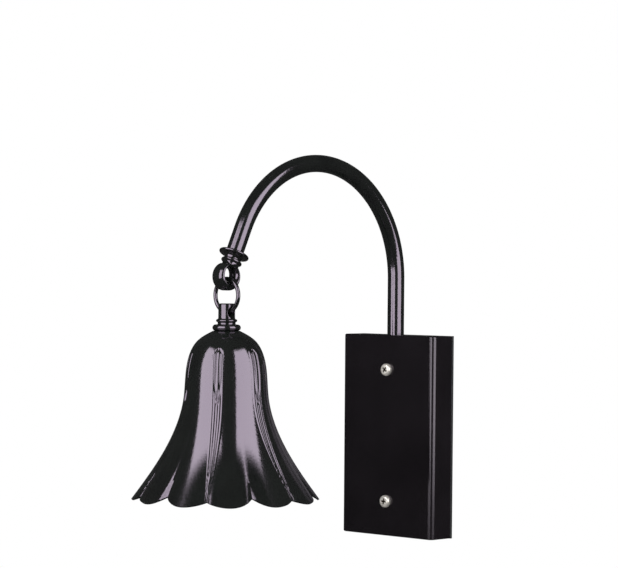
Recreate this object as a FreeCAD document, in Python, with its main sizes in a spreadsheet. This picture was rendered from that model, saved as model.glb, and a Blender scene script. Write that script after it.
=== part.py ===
import FreeCAD, Part
import math
import os
from types import SimpleNamespace

import Sketcher
from FreeCAD import Placement, Rotation, Vector

# Bell-flower wall light: a shallow wall box carries a gooseneck tube, and a
# six-petal bell shade hangs open side down from the tube's hook on one ring.
#
# Frame: the origin is the centre of the face against the wall, +Z is up,
# -Y points out of the wall and +X is to the right of someone facing the wall.
# Lengths are in millimetres and angles in degrees.

DIMENSIONS = [
    # Wall box
    ("plate_width", 69.85),
    ("plate_height", 114.3),
    ("plate_thickness", 1.6),
    ("box_depth", 17.5),
    ("cover_wall", 1.2),
    ("cover_side_radius", 3.0),
    ("cover_rim_radius", 0.9),
    ("cover_screw_inset", 19.65),
    ("cover_screw_clearance", 0.25),
    # Holes of the back plate
    ("wall_screw_spacing", 54.0),
    ("wall_hole_diameter", 4.6),
    ("entry_height", 10.0),
    ("entry_bore", 9.5),
    ("grommet_neck", 13.0),
    ("grommet_flange", 17.0),
    ("grommet_lip", 1.5),
    # Posts and small screws
    ("post_diameter", 7.0),
    ("post_gap", 0.1),
    ("screw_shank", 3.4),
    ("screw_head", 7.0),
    ("screw_head_height", 2.3),
    ("screw_edge", 0.5),
    ("screw_depth", 7.0),
    ("recess_width", 3.8),
    ("recess_slot", 0.95),
    ("recess_depth", 1.5),
    ("thread_gap", 0.05),
    # Gooseneck tube and what holds it in the box
    ("tube_diameter", 9.525),
    ("tube_wall", 1.0),
    ("tube_stand_off", 10.6),
    ("tube_insertion", 14.0),
    ("leg_top", 89.0),
    ("bend_radius", 63.5),
    ("bend_angle", 155.0),
    ("end_length", 14.5),
    ("tube_fit", 0.1),
    ("saddle_width", 26.0),
    ("saddle_height", 11.0),
    ("saddle_gap", 0.6),
    ("strap_thickness", 0.7),
    ("strap_screw_offset", 9.2),
    ("strap_screw_shank", 2.4),
    ("strap_screw_head", 4.4),
    ("strap_screw_head_height", 1.5),
    ("strap_screw_depth", 5.0),
    ("seal_lip", 1.2),
    ("notch_clearance", 0.7),
    # Terminal block
    ("block_width", 22.0),
    ("block_height", 11.0),
    ("block_depth", 9.0),
    ("block_drop", 13.0),
    ("terminal_spacing", 11.0),
    ("terminal_well", 5.2),
    ("terminal_screw_head", 4.4),
    ("terminal_screw_shank", 2.6),
    ("wire_hole", 2.8),
    # Hook
    ("bush_length", 12.0),
    ("hook_shank", 5.0),
    ("hook_shank_length", 10.0),
    ("disc_diameter", 16.4),
    ("disc_thickness", 1.6),
    ("cove_radius", 2.6),
    ("bead_diameter", 11.4),
    ("bead_height", 1.8),
    ("eye_diameter", 15.0),
    ("eye_width", 9.0),
    ("eye_distance", 13.8),
    ("eye_edge_radius", 2.6),
    ("eye_hole_diameter", 7.2),
    ("eye_hole_rise", 1.0),
    ("eye_hole_flare", 5.4),
    ("eye_slot", 1.3),
    ("eye_slot_angle", 38.0),
    # Ring link
    ("ring_radius", 8.8),
    ("ring_wire", 2.3),
    ("hang_gap", 0.3),
    # Stem of the shade
    ("neck_diameter", 9.0),
    ("neck_top", 3.0),
    ("neck_height", 8.4),
    ("neck_edge", 0.5),
    ("neck_hole_diameter", 3.6),
    ("neck_hole_flare", 7.5),
    ("neck_flare", 0.3),
    ("stem_bead_diameter", 11.4),
    ("stem_bead_height", 1.5),
    ("waist_diameter", 9.6),
    ("waist_height", 1.3),
    ("collar_diameter", 15.2),
    ("collar_height", 3.4),
    ("stem_thread", 7.0),
    # Shade
    ("shade_wall", 1.0),
    ("seat_radius", 7.2),
    ("shoulder_drop", 5.6),
    ("shoulder_radius", 15.8),
    ("barrel_drop", 17.3),
    ("barrel_radius", 21.0),
    ("waist_drop", 36.0),
    ("waist_radius", 22.8),
    ("flare_drop", 62.0),
    ("flare_radius", 31.8),
    ("shade_height", 90.0),
    ("rim_radius", 50.6),
    ("petal_turn", 4.5),
    ("seam_depth_top", 0.25),
    ("seam_depth_rim", 3.0),
    ("rib_depth_top", 0.2),
    ("rib_depth_rim", 1.7),
    ("seam_notch", 4.2),
    ("rib_notch", 2.5),
    ("shade_hole_gap", 0.15),
    # Lamp holder and bulb
    ("washer_diameter", 13.0),
    ("washer_thickness", 0.8),
    ("nut_flats", 11.0),
    ("nut_height", 3.6),
    ("jam_nut_height", 2.4),
    ("cup_diameter", 24.0),
    ("cup_wall", 0.8),
    ("cup_height", 15.0),
    ("socket_gap", 0.15),
    ("socket_length", 19.0),
    ("socket_slot_width", 11.0),
    ("socket_slot_thickness", 3.4),
    ("socket_slot_depth", 9.0),
    ("rivet_diameter", 2.4),
    ("rivet_head", 4.0),
    ("contact_thickness", 0.35),
    ("contact_width", 3.0),
    ("bulb_diameter", 15.0),
    ("bulb_length", 30.0),
    ("bulb_wall", 0.8),
    ("wedge_width", 10.4),
    ("wedge_thickness", 2.3),
    ("wedge_length", 8.0),
    ("filament_length", 6.0),
    ("lead_diameter", 0.7),
    ("filament_diameter", 1.2),
]

PETALS = 6
SHADE_RINGS = 9


class Size:
    """A number together with the sheet expression that gives it."""

    def __init__(self, value, text):
        self.value = float(value)
        self.text = text

    def __add__(self, other):
        other = as_size(other)
        return Size(self.value + other.value, "(%s + %s)" % (self.text, other.text))

    def __radd__(self, other):
        return as_size(other) + self

    def __sub__(self, other):
        other = as_size(other)
        return Size(self.value - other.value, "(%s - %s)" % (self.text, other.text))

    def __rsub__(self, other):
        return as_size(other) - self

    def __mul__(self, other):
        other = as_size(other)
        return Size(self.value * other.value, "(%s * %s)" % (self.text, other.text))

    def __rmul__(self, other):
        return as_size(other) * self

    def __truediv__(self, other):
        other = as_size(other)
        return Size(self.value / other.value, "(%s / %s)" % (self.text, other.text))

    def __neg__(self):
        return Size(-self.value, "(0 - %s)" % self.text)


def as_size(number):
    """A Size as it is, or a plain number as a Size."""
    if isinstance(number, Size):
        return number
    return Size(number, repr(float(number)))


def sine(angle):
    return Size(math.sin(math.radians(angle.value)), "sin(%s)" % angle.text)


def cosine(angle):
    return Size(math.cos(math.radians(angle.value)), "cos(%s)" % angle.text)


def root(square):
    return Size(math.sqrt(square.value), "sqrt(%s)" % square.text)


def fill_sheet(doc):
    """Write the driving dimensions into the sheet and return them as sizes."""
    sheet = doc.addObject("Spreadsheet::Sheet", "Sizes")
    for row, (alias, value) in enumerate(DIMENSIONS, start=1):
        sheet.set("A%d" % row, alias.replace("_", " "))
        sheet.set("B%d" % row, str(value))
        sheet.setAlias("B%d" % row, alias)
    doc.recompute()
    sizes = {alias: Size(value, "Sizes.%s" % alias) for alias, value in DIMENSIONS}
    return SimpleNamespace(**sizes)


# ---------------------------------------------------------------- drawing


def line(x, y):
    return ("line", as_size(x), as_size(y), None, 0)


def arc(x, y, radius, turn):
    """An arc to (x, y); turn is 1 anticlockwise and -1 clockwise."""
    return ("arc", as_size(x), as_size(y), as_size(radius), turn)


def new_sketch(body, role, name, lift=None, shift=None):
    """A sketch on one of the body's own planes, lifted off it or shifted along it."""
    sketch = body.newObject("Sketcher::SketchObject", name)
    plane = [item for item in body.Origin.OriginFeatures if item.Role == role][0]
    sketch.AttachmentSupport = [(plane, "")]
    sketch.MapMode = "FlatFace"
    if lift is not None:
        sketch.setExpression("AttachmentOffset.Base.z", lift.text)
    if shift is not None:
        sketch.setExpression("AttachmentOffset.Base.y", shift.text)
    return sketch


def pin_point(sketch, index, position, x, y):
    """Bind one end of a sketch edge to its two coordinates."""
    for kind, size in (("DistanceX", x), ("DistanceY", y)):
        number = sketch.addConstraint(
            Sketcher.Constraint(kind, -1, 1, index, position, size.value))
        sketch.setExpression("Constraints[%d]" % number, size.text)


def arc_edge(start, end, radius, turn):
    """The arc of a given radius between two points, up to half a turn."""
    chord = end - start
    height = math.sqrt(max(radius * radius - chord.Length ** 2 / 4.0, 0.0))
    side = Vector(-chord.y, chord.x, 0).normalize()
    centre = (start + end) * 0.5 + side * height * turn
    first, last = (start, end) if turn > 0 else (end, start)
    angles = [math.atan2(p.y - centre.y, p.x - centre.x) for p in (first, last)]
    circle = Part.Circle(centre, Vector(0, 0, 1), radius)
    return Part.ArcOfCircle(circle, angles[0], angles[1])


def draw(sketch, start, steps, closed=True):
    """Draw a chain of lines and arcs whose corners are bound to sizes."""
    corners = [(as_size(start[0]), as_size(start[1]))]
    corners += [(step[1], step[2]) for step in steps]
    ends = []
    for number, (kind, x, y, radius, turn) in enumerate(steps):
        from_point = Vector(corners[number][0].value, corners[number][1].value, 0)
        to_point = Vector(x.value, y.value, 0)
        if kind == "line":
            index = sketch.addGeometry(Part.LineSegment(from_point, to_point), False)
        else:
            edge = arc_edge(from_point, to_point, radius.value, turn)
            index = sketch.addGeometry(edge, False)
        first, last = (1, 2) if turn >= 0 else (2, 1)
        ends.append((index, first, last))
        if kind == "arc":
            bound = sketch.addConstraint(
                Sketcher.Constraint("Radius", index, radius.value))
            sketch.setExpression("Constraints[%d]" % bound, radius.text)
    for number, (index, first, last) in enumerate(ends):
        pin_point(sketch, index, first, *corners[number])
        if number > 0:
            before = ends[number - 1]
            sketch.addConstraint(
                Sketcher.Constraint("Coincident", before[0], before[2], index, first))
    if closed:
        sketch.addConstraint(Sketcher.Constraint(
            "Coincident", ends[-1][0], ends[-1][2], ends[0][0], ends[0][1]))
    else:
        pin_point(sketch, ends[-1][0], ends[-1][2], *corners[-1])


def circle(sketch, x, y, radius):
    """A circle whose centre and radius are bound to sizes."""
    x, y, radius = as_size(x), as_size(y), as_size(radius)
    shape = Part.Circle(Vector(x.value, y.value, 0), Vector(0, 0, 1), radius.value)
    index = sketch.addGeometry(shape, False)
    pin_point(sketch, index, 3, x, y)
    bound = sketch.addConstraint(Sketcher.Constraint("Radius", index, radius.value))
    sketch.setExpression("Constraints[%d]" % bound, radius.text)


def rectangle(sketch, x_low, x_high, y_low, y_high):
    draw(sketch, (x_low, y_low),
         [line(x_high, y_low), line(x_high, y_high), line(x_low, y_high),
          line(x_low, y_low)])


# ---------------------------------------------------------------- features


def new_body(doc, label):
    body = doc.addObject("PartDesign::Body", label)
    body.Label = label
    return body


def pad(body, sketch, length, reverse=False, midplane=False):
    feature = body.newObject("PartDesign::Pad", sketch.Name + "_pad")
    feature.Profile = sketch
    feature.setExpression("Length", as_size(length).text)
    feature.Reversed = reverse
    feature.Midplane = midplane
    sketch.Visibility = False
    return feature


def pocket(body, sketch, length, reverse=False, midplane=False):
    feature = body.newObject("PartDesign::Pocket", sketch.Name + "_pocket")
    feature.Profile = sketch
    feature.setExpression("Length", as_size(length).text)
    feature.Reversed = reverse
    feature.Midplane = midplane
    return feature


def revolve(body, sketch, axis="V_Axis"):
    feature = body.newObject("PartDesign::Revolution", sketch.Name + "_turn")
    feature.Profile = sketch
    feature.ReferenceAxis = (sketch, [axis])
    feature.Angle = 360
    return feature


def groove(body, sketch, axis="V_Axis"):
    feature = body.newObject("PartDesign::Groove", sketch.Name + "_groove")
    feature.Profile = sketch
    feature.ReferenceAxis = (sketch, [axis])
    feature.Angle = 360
    return feature


def place(item, x=0, y=0, z=0, axis=None, angle=0):
    """Bind a piece's position, and turn it about an axis through its origin."""
    if axis is not None:
        item.Placement = Placement(Vector(), Rotation(Vector(*axis), as_size(angle).value))
        item.setExpression("Placement.Rotation.Angle", as_size(angle).text)
    for name, size in (("x", x), ("y", y), ("z", z)):
        item.setExpression("Placement.Base." + name, as_size(size).text)


def turned(doc, label, start, steps):
    """A body turned about its own Z axis from half of its outline."""
    body = new_body(doc, label)
    sketch = new_sketch(body, "XZ_Plane", label + "_outline")
    draw(sketch, start, steps)
    revolve(body, sketch)
    return body


def mirrored_pair(doc, label, source, normal):
    """Two alike pieces in one node, the second mirrored through the origin."""
    source.Label = label + "_first"
    mirror = doc.addObject("Part::Mirroring", label + "_second")
    mirror.Source = source
    mirror.Base = Vector(0, 0, 0)
    mirror.Normal = Vector(*normal)
    both = doc.addObject("Part::Compound", label)
    both.Links = [source, mirror]
    both.Label = label
    return both


# ---------------------------------------------------------------- wall box


def make_back_plate(doc, s):
    """The steel plate against the wall, with its screw holes and cable entry."""
    body = new_body(doc, "back_plate")
    sketch = new_sketch(body, "XZ_Plane", "plate_outline")
    rectangle(sketch, -s.plate_width / 2, s.plate_width / 2,
              -s.plate_height / 2, s.plate_height / 2)
    pad(body, sketch, s.plate_thickness)
    doc.recompute()
    holes = new_sketch(body, "XZ_Plane", "plate_holes")
    circle(holes, 0, s.entry_height, s.grommet_neck / 2)
    circle(holes, 0, s.wall_screw_spacing / 2, s.wall_hole_diameter / 2)
    circle(holes, 0, -s.wall_screw_spacing / 2, s.wall_hole_diameter / 2)
    pocket(body, holes, s.plate_thickness, reverse=True)
    return body


def make_grommet(doc, s):
    """The rubber ring in the cable entry; its inner lip hooks over the plate."""
    bore = s.entry_bore / 2
    neck = s.grommet_neck / 2
    flange = s.grommet_flange / 2
    top = s.plate_thickness + s.grommet_lip
    body = turned(doc, "wire_grommet", (bore, 0), [
        line(neck, 0),
        line(neck, s.plate_thickness),
        line(flange, s.plate_thickness),
        line(flange, top - s.grommet_lip / 2),
        arc(flange - s.grommet_lip / 2, top, s.grommet_lip / 2, 1),
        line(bore, top),
        line(bore, 0),
    ])
    place(body, 0, 0, s.entry_height, (1, 0, 0), 90)
    return body


def make_cover(doc, s):
    """The deep cover: front, four walls, and a notch for the tube in its top."""
    width = s.plate_width / 2
    back = -s.plate_thickness
    front = -s.box_depth
    side = s.cover_side_radius
    wall = s.cover_wall
    body = new_body(doc, "cover")
    plan = new_sketch(body, "XY_Plane", "cover_plan")
    draw(plan, (-width, back), [
        line(-width, front + side),
        arc(-width + side, front, side, 1),
        line(width - side, front),
        arc(width, front + side, side, 1),
        line(width, back),
        line(-width, back),
    ])
    block = pad(body, plan, s.plate_height, midplane=True)
    doc.recompute()
    edges = []
    for number, edge in enumerate(block.Shape.Edges, start=1):
        box = edge.BoundBox
        on_end = abs(abs(box.ZMin) - s.plate_height.value / 2) < 0.01
        if on_end and box.ZLength < 0.01 and box.YMax < back.value - 0.01:
            edges.append("Edge%d" % number)
    rim = body.newObject("PartDesign::Fillet", "cover_rim")
    rim.Base = (block, edges)
    rim.setExpression("Radius", s.cover_rim_radius.text)
    doc.recompute()
    inside = new_sketch(body, "XY_Plane", "cover_inside")
    corner = side - wall
    draw(inside, (-width + wall, back), [
        line(-width + wall, front + side),
        arc(-width + side, front + wall, corner, 1),
        line(width - side, front + wall),
        arc(width - wall, front + side, corner, 1),
        line(width - wall, back),
        line(-width + wall, back),
    ])
    pocket(body, inside, s.plate_height - wall * 2, midplane=True)
    doc.recompute()
    radius = s.tube_diameter / 2 + s.notch_clearance
    notch = new_sketch(body, "XY_Plane", "cover_notch",
                       lift=s.plate_height / 2 - wall * 2)
    centre = -s.tube_stand_off
    draw(notch, (-radius, back), [
        line(-radius, centre),
        arc(0, centre - radius, radius, 1),
        arc(radius, centre, radius, 1),
        line(radius, back),
        line(-radius, back),
    ])
    pocket(body, notch, wall * 3, reverse=True)
    doc.recompute()
    holes = new_sketch(body, "XZ_Plane", "cover_holes", lift=-back)
    reach = s.screw_shank / 2 + s.cover_screw_clearance
    circle(holes, 0, cover_screw_place(s), reach)
    circle(holes, 0, -cover_screw_place(s), reach)
    pocket(body, holes, s.box_depth, reverse=True)
    return body


def cover_screw_place(s):
    """Height of the upper cover screw; the lower one mirrors it."""
    return s.plate_height / 2 - s.cover_screw_inset


def make_cover_posts(doc, s):
    """Two threaded posts on the back plate that take the cover screws."""
    length = s.box_depth - s.plate_thickness - s.cover_wall - s.post_gap
    bore = s.screw_shank / 2 + s.thread_gap
    edge = s.screw_edge
    post = turned(doc, "cover_post", (bore, 0), [
        line(s.post_diameter / 2, 0),
        line(s.post_diameter / 2, length - edge),
        line(s.post_diameter / 2 - edge, length),
        line(bore, length),
        line(bore, 0),
    ])
    place(post, 0, -s.plate_thickness, cover_screw_place(s), (1, 0, 0), 90)
    return mirrored_pair(doc, "cover_posts", post, (0, 0, 1))


def pan_screw(doc, label, s, head, height, shank, depth, recess=True):
    """A pan-head screw with a cross recess, its head's underside at its origin."""
    crown = s.screw_edge
    radius = head / 2
    bulge = (radius * radius + height * height) / (height * 2)
    body = turned(doc, label, (0, -depth), [
        line(shank / 2 - crown, -depth),
        line(shank / 2, crown - depth),
        line(shank / 2, 0),
        line(radius, 0),
        arc(0, height, bulge, 1),
        line(0, -depth),
    ])
    if recess:
        doc.recompute()
        cross = new_sketch(body, "XY_Plane", label + "_cross", lift=height)
        wide = s.recess_width / 2
        slot = s.recess_slot / 2
        draw(cross, (-wide, -slot), [
            line(-slot, -slot), line(-slot, -wide), line(slot, -wide),
            line(slot, -slot), line(wide, -slot), line(wide, slot),
            line(slot, slot), line(slot, wide), line(-slot, wide),
            line(-slot, slot), line(-wide, slot), line(-wide, -slot),
        ])
        pocket(body, cross, s.recess_depth)
    return body


def make_cover_screws(doc, s):
    """The two bright screws through the cover's front."""
    screw = pan_screw(doc, "cover_screw", s, s.screw_head, s.screw_head_height,
                      s.screw_shank, s.screw_depth)
    place(screw, 0, -s.box_depth, cover_screw_place(s), (1, 0, 0), 90)
    return mirrored_pair(doc, "cover_screws", screw, (0, 0, 1))


def make_terminal_block(doc, s):
    """The two-way terminal block below the cable entry."""
    wide = s.block_width / 2
    low = -s.block_drop - s.block_height / 2
    high = -s.block_drop + s.block_height / 2
    body = new_body(doc, "terminal_block")
    sketch = new_sketch(body, "XZ_Plane", "block_outline", lift=s.plate_thickness)
    rectangle(sketch, -wide, wide, low, high)
    pad(body, sketch, s.block_depth)
    doc.recompute()
    wells = new_sketch(body, "XZ_Plane", "block_wells",
                       lift=s.plate_thickness + s.block_depth)
    for sign in (-1, 1):
        circle(wells, s.terminal_spacing / 2 * sign, -s.block_drop, s.terminal_well / 2)
    pocket(body, wells, s.block_depth / 2)
    doc.recompute()
    wires = new_sketch(body, "XY_Plane", "block_wires", lift=high)
    for sign in (-1, 1):
        circle(wires, s.terminal_spacing / 2 * sign,
               -s.plate_thickness - s.block_depth / 4, s.wire_hole / 2)
    pocket(body, wires, s.block_height)
    return body


def make_terminal_screws(doc, s):
    """The two brass screws in the terminal block's wells."""
    radius = s.terminal_screw_head / 2
    height = s.block_depth / 4
    screw = turned(doc, "terminal_screw", (0, 0), [
        line(radius, 0), line(radius, height), line(0, height), line(0, 0)])
    doc.recompute()
    slot = new_sketch(screw, "XY_Plane", "terminal_slot", lift=height)
    rectangle(slot, -radius * 1.2, radius * 1.2, -s.recess_slot / 2, s.recess_slot / 2)
    pocket(screw, slot, height / 2)
    place(screw, s.terminal_spacing / 2, -s.plate_thickness - s.block_depth / 2,
          -s.block_drop, (1, 0, 0), 90)
    return mirrored_pair(doc, "terminal_screws", screw, (1, 0, 0))


# ---------------------------------------------------------------- gooseneck


def tube_end(s):
    """Where the tube ends, in Y and Z, and the direction in which it leaves."""
    out = -sine(s.bend_angle)
    down = cosine(s.bend_angle)
    y = -s.tube_stand_off - s.bend_radius + s.bend_radius * cosine(s.bend_angle)
    z = s.leg_top + s.bend_radius * sine(s.bend_angle)
    return y + out * s.end_length, z + down * s.end_length, out, down


def tube_foot(s):
    """The height of the tube's lower end inside the box."""
    return s.plate_height / 2 - s.cover_wall - s.tube_insertion


def make_arm_tube(doc, s):
    """The gooseneck: one tube up from the box, over in an arc and down again."""
    body = new_body(doc, "arm_tube")
    y_leg = -s.tube_stand_off
    foot = tube_foot(s)
    y_end, z_end, out, down = tube_end(s)
    path = new_sketch(body, "YZ_Plane", "tube_path")
    draw(path, (y_leg, foot), [
        line(y_leg, s.leg_top),
        arc(y_end - out * s.end_length, z_end - down * s.end_length, s.bend_radius, 1),
        line(y_end, z_end),
    ], closed=False)
    section = new_sketch(body, "XY_Plane", "tube_section", lift=foot)
    circle(section, 0, y_leg, s.tube_diameter / 2)
    circle(section, 0, y_leg, s.tube_diameter / 2 - s.tube_wall)
    sweep = body.newObject("PartDesign::AdditivePipe", "tube_sweep")
    sweep.Profile = section
    sweep.Spine = path
    return body


def make_arm_saddle(doc, s):
    """The block on the back plate with a half-round seat for the tube's foot."""
    body = new_body(doc, "arm_saddle")
    seat = s.tube_diameter / 2 + s.tube_fit
    wide = s.saddle_width / 2
    back = -s.plate_thickness
    front = -s.tube_stand_off
    sketch = new_sketch(body, "XY_Plane", "saddle_plan", lift=tube_foot(s) + s.saddle_gap)
    draw(sketch, (-wide, back), [
        line(-wide, front),
        line(-seat, front),
        arc(0, front + seat, seat, -1),
        arc(seat, front, seat, -1),
        line(wide, front),
        line(wide, back),
        line(-wide, back),
    ])
    pad(body, sketch, s.saddle_height)
    doc.recompute()
    holes = new_sketch(body, "XZ_Plane", "saddle_holes", lift=s.tube_stand_off)
    for sign in (-1, 1):
        circle(holes, s.strap_screw_offset * sign, saddle_middle(s),
               s.strap_screw_shank / 2 + s.thread_gap)
    pocket(body, holes, s.strap_screw_depth)
    return body


def saddle_middle(s):
    return tube_foot(s) + s.saddle_gap + s.saddle_height / 2


def make_arm_strap(doc, s):
    """The formed strap over the tube, screwed down on the saddle."""
    body = new_body(doc, "arm_strap")
    inner = s.tube_diameter / 2 + s.tube_fit
    outer = inner + s.strap_thickness
    wide = s.saddle_width / 2
    back = -s.tube_stand_off
    front = back - s.strap_thickness
    reach = root(outer * outer - s.strap_thickness * s.strap_thickness)
    sketch = new_sketch(body, "XY_Plane", "strap_plan", lift=tube_foot(s) + s.saddle_gap)
    draw(sketch, (-wide, back), [
        line(-wide, front),
        line(-reach, front),
        arc(0, back - outer, outer, 1),
        arc(reach, front, outer, 1),
        line(wide, front),
        line(wide, back),
        line(inner, back),
        arc(0, back - inner, inner, -1),
        arc(-inner, back, inner, -1),
        line(-wide, back),
    ])
    pad(body, sketch, s.saddle_height)
    doc.recompute()
    holes = new_sketch(body, "XZ_Plane", "strap_holes",
                       lift=s.tube_stand_off + s.strap_thickness)
    for sign in (-1, 1):
        circle(holes, s.strap_screw_offset * sign, saddle_middle(s),
               s.strap_screw_shank / 2 + s.thread_gap)
    pocket(body, holes, s.strap_thickness)
    return body


def make_strap_screws(doc, s):
    """The two small screws that hold the strap."""
    screw = pan_screw(doc, "strap_screw", s, s.strap_screw_head,
                      s.strap_screw_head_height, s.strap_screw_shank,
                      s.strap_screw_depth, recess=False)
    place(screw, s.strap_screw_offset, -s.tube_stand_off - s.strap_thickness,
          saddle_middle(s), (1, 0, 0), 90)
    return mirrored_pair(doc, "strap_screws", screw, (1, 0, 0))


def make_arm_seal(doc, s):
    """The rubber bush that fills the cover's notch round the tube."""
    body = new_body(doc, "arm_seal")
    bore = s.tube_diameter / 2 + s.tube_fit
    outer = s.tube_diameter / 2 + s.notch_clearance - s.tube_fit
    centre = -s.tube_stand_off
    back = -s.plate_thickness
    base = s.plate_height / 2 - s.cover_wall - s.seal_lip
    sketch = new_sketch(body, "XY_Plane", "seal_plan", lift=base)
    draw(sketch, (-outer, back), [
        line(-outer, centre),
        arc(0, centre - outer, outer, 1),
        arc(outer, centre, outer, 1),
        line(outer, back),
        line(-outer, back),
    ])
    circle(sketch, 0, centre, bore)
    pad(body, sketch, s.cover_wall + s.seal_lip)
    return body


# ---------------------------------------------------------------- hook and ring


def make_arm_bush(doc, s):
    """The threaded bush inside the tube's end that takes the hook's shank."""
    outer = s.tube_diameter / 2 - s.tube_wall - s.thread_gap
    bore = s.hook_shank / 2 + s.thread_gap
    body = turned(doc, "arm_bush", (bore, 0), [
        line(outer, 0), line(outer, s.bush_length),
        line(bore, s.bush_length), line(bore, 0)])
    y_end, z_end, out, down = tube_end(s)
    place(body, 0, y_end, z_end, (1, 0, 0), s.bend_angle - 180)
    return body


def make_hook(doc, s):
    """The cast hook: threaded shank, thin disc, cove, bead and an open eye."""
    disc = s.disc_diameter / 2
    bead = s.bead_diameter / 2
    half = s.bead_height / 2
    edge = s.disc_thickness / 2
    cove = s.cove_radius
    bead_top = -s.disc_thickness - cove
    throat = bead - cove / 2
    shank = s.hook_shank / 2
    root_end = s.eye_diameter * 0.35 - s.eye_distance
    body = turned(doc, "hook", (0, s.hook_shank_length), [
        line(0, root_end),
        line(s.eye_width / 2, root_end),
        line(s.eye_width / 2, bead_top - s.bead_height),
        line(bead - half, bead_top - s.bead_height),
        arc(bead, bead_top - half, half, 1),
        arc(bead - half, bead_top, half, 1),
        line(throat, bead_top),
        arc(throat + cove, -s.disc_thickness, cove, -1),
        line(disc - edge, -s.disc_thickness),
        arc(disc, -edge, edge, 1),
        arc(disc - edge, 0, edge, 1),
        line(shank, 0),
        line(shank, s.hook_shank_length),
        line(0, s.hook_shank_length),
    ])
    doc.recompute()
    eye = s.eye_diameter / 2
    wide = s.eye_width / 2
    soft = s.eye_edge_radius
    rim = new_sketch(body, "XZ_Plane", "eye_rim", shift=-s.eye_distance)
    draw(rim, (-wide, 0), [
        line(wide, 0),
        line(wide, eye - soft),
        arc(wide - soft, eye, soft, 1),
        line(soft - wide, eye),
        arc(-wide, eye - soft, soft, 1),
        line(-wide, 0),
    ])
    revolve(body, rim, "H_Axis")
    doc.recompute()
    flared_hole(body, "eye_hole", s.eye_hole_rise - s.eye_distance,
                s.eye_hole_diameter / 2, s.eye_hole_flare, wide)
    doc.recompute()
    slot = new_sketch(body, "YZ_Plane", "eye_slot")
    middle = s.eye_hole_rise - s.eye_distance
    along_y = -sine(s.eye_slot_angle)
    along_z = cosine(s.eye_slot_angle)
    side = s.eye_slot / 2
    reach = s.eye_diameter
    draw(slot, (along_z * side, middle - along_y * side), [
        line(along_z * side + along_y * reach, middle - along_y * side + along_z * reach),
        line(along_y * reach - along_z * side, middle + along_y * side + along_z * reach),
        line(-along_z * side, middle + along_y * side),
        line(along_z * side, middle - along_y * side),
    ])
    pocket(body, slot, s.eye_width * 2, midplane=True)
    y_end, z_end, out, down = tube_end(s)
    place(body, 0, y_end, z_end, (1, 0, 0), s.bend_angle - 180)
    return body


def flared_hole(body, name, height, radius, flare, half_width):
    """A hole along X whose wall swells like the inside of a ring at both ends."""
    mouth = radius + flare - root(flare * flare - half_width * half_width)
    sketch = new_sketch(body, "XZ_Plane", name, shift=height)
    draw(sketch, (-half_width, 0), [
        line(half_width, 0),
        line(half_width, mouth),
        arc(0, radius, flare, -1),
        arc(-half_width, mouth, flare, -1),
        line(-half_width, 0),
    ])
    return groove(body, sketch, "H_Axis")


def hang_point(s):
    """The centre of the ring's wire where it lies in the hook's eye."""
    y_end, z_end, out, down = tube_end(s)
    length = s.eye_distance - s.eye_hole_rise
    drop = s.eye_hole_diameter / 2 - s.ring_wire / 2 - s.hang_gap
    return y_end + out * length, z_end + down * length - drop


def make_link_ring(doc, s):
    """The round wire ring between the hook's eye and the shade's stem."""
    ring = doc.addObject("Part::Torus", "link_ring")
    ring.Label = "link_ring"
    ring.setExpression("Radius1", s.ring_radius.text)
    ring.setExpression("Radius2", (s.ring_wire / 2).text)
    y, z = hang_point(s)
    place(ring, 0, y, z - s.ring_radius, (1, 0, 0), 90)
    return ring


# ---------------------------------------------------------------- shade


def stem_hole_height(s):
    """The height of the middle of the neck's cross hole."""
    y, z = hang_point(s)
    wire_top = z - s.ring_radius * 2 + s.ring_wire / 2
    return wire_top + s.hang_gap - s.neck_hole_diameter / 2


def shade_top(s):
    """The height of the shade's flat seat."""
    neck_end = stem_hole_height(s) + s.neck_hole_diameter / 2 + s.neck_top
    return (neck_end - s.neck_height - s.stem_bead_height - s.waist_height
            - s.collar_height)


def make_shade_stem(doc, s):
    """The stem: neck with a cross hole, bead, waist, collar and thread."""
    neck = s.neck_diameter / 2
    bead = s.stem_bead_diameter / 2
    half = s.stem_bead_height / 2
    waist = s.waist_diameter / 2
    collar = s.collar_diameter / 2
    thread = s.stem_thread / 2
    dome = s.collar_height / 2
    waist_top = s.collar_height + s.waist_height
    bead_top = waist_top + s.stem_bead_height
    top = bead_top + s.neck_height
    flare = s.neck_flare
    edge = s.neck_edge
    length = (seat_underside(s) + s.washer_thickness + s.nut_height + s.cup_wall
              + s.jam_nut_height)
    body = turned(doc, "shade_stem", (0, -length), [
        line(thread, -length),
        line(thread, 0),
        line(collar - dome, 0),
        arc(collar, dome, dome, 1),
        arc(collar - dome, s.collar_height, dome, 1),
        line(waist, s.collar_height),
        line(waist, waist_top),
        line(bead - half, waist_top),
        arc(bead, waist_top + half, half, 1),
        arc(bead - half, bead_top, half, 1),
        line(neck + flare, bead_top),
        line(neck, bead_top + flare * 2),
        line(neck, top - edge),
        line(neck - edge, top),
        line(0, top),
        line(0, -length),
    ])
    doc.recompute()
    flared_hole(body, "neck_hole", stem_hole_height(s) - shade_top(s),
                s.neck_hole_diameter / 2, s.neck_hole_flare, neck + flare)
    y, z = hang_point(s)
    place(body, 0, y, shade_top(s))
    return body


def plain_numbers(s):
    """The driving dimensions as numbers, for the free-form shade."""
    return SimpleNamespace(**{name: size.value for name, size in vars(s).items()})


def shade_profile(s):
    """The shade's outer outline at the petals' crowns: radius against drop."""
    points = [
        (s.seat_radius, 0.0),
        (s.shoulder_radius, s.shoulder_drop),
        (s.barrel_radius, s.barrel_drop),
        (s.waist_radius, s.waist_drop),
        (s.flare_radius, s.flare_drop),
        (s.rim_radius, s.shade_height),
    ]
    curve = Part.BSplineCurve()
    curve.interpolate([Vector(float(r), 0, -float(drop)) for r, drop in points])
    return curve


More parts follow.
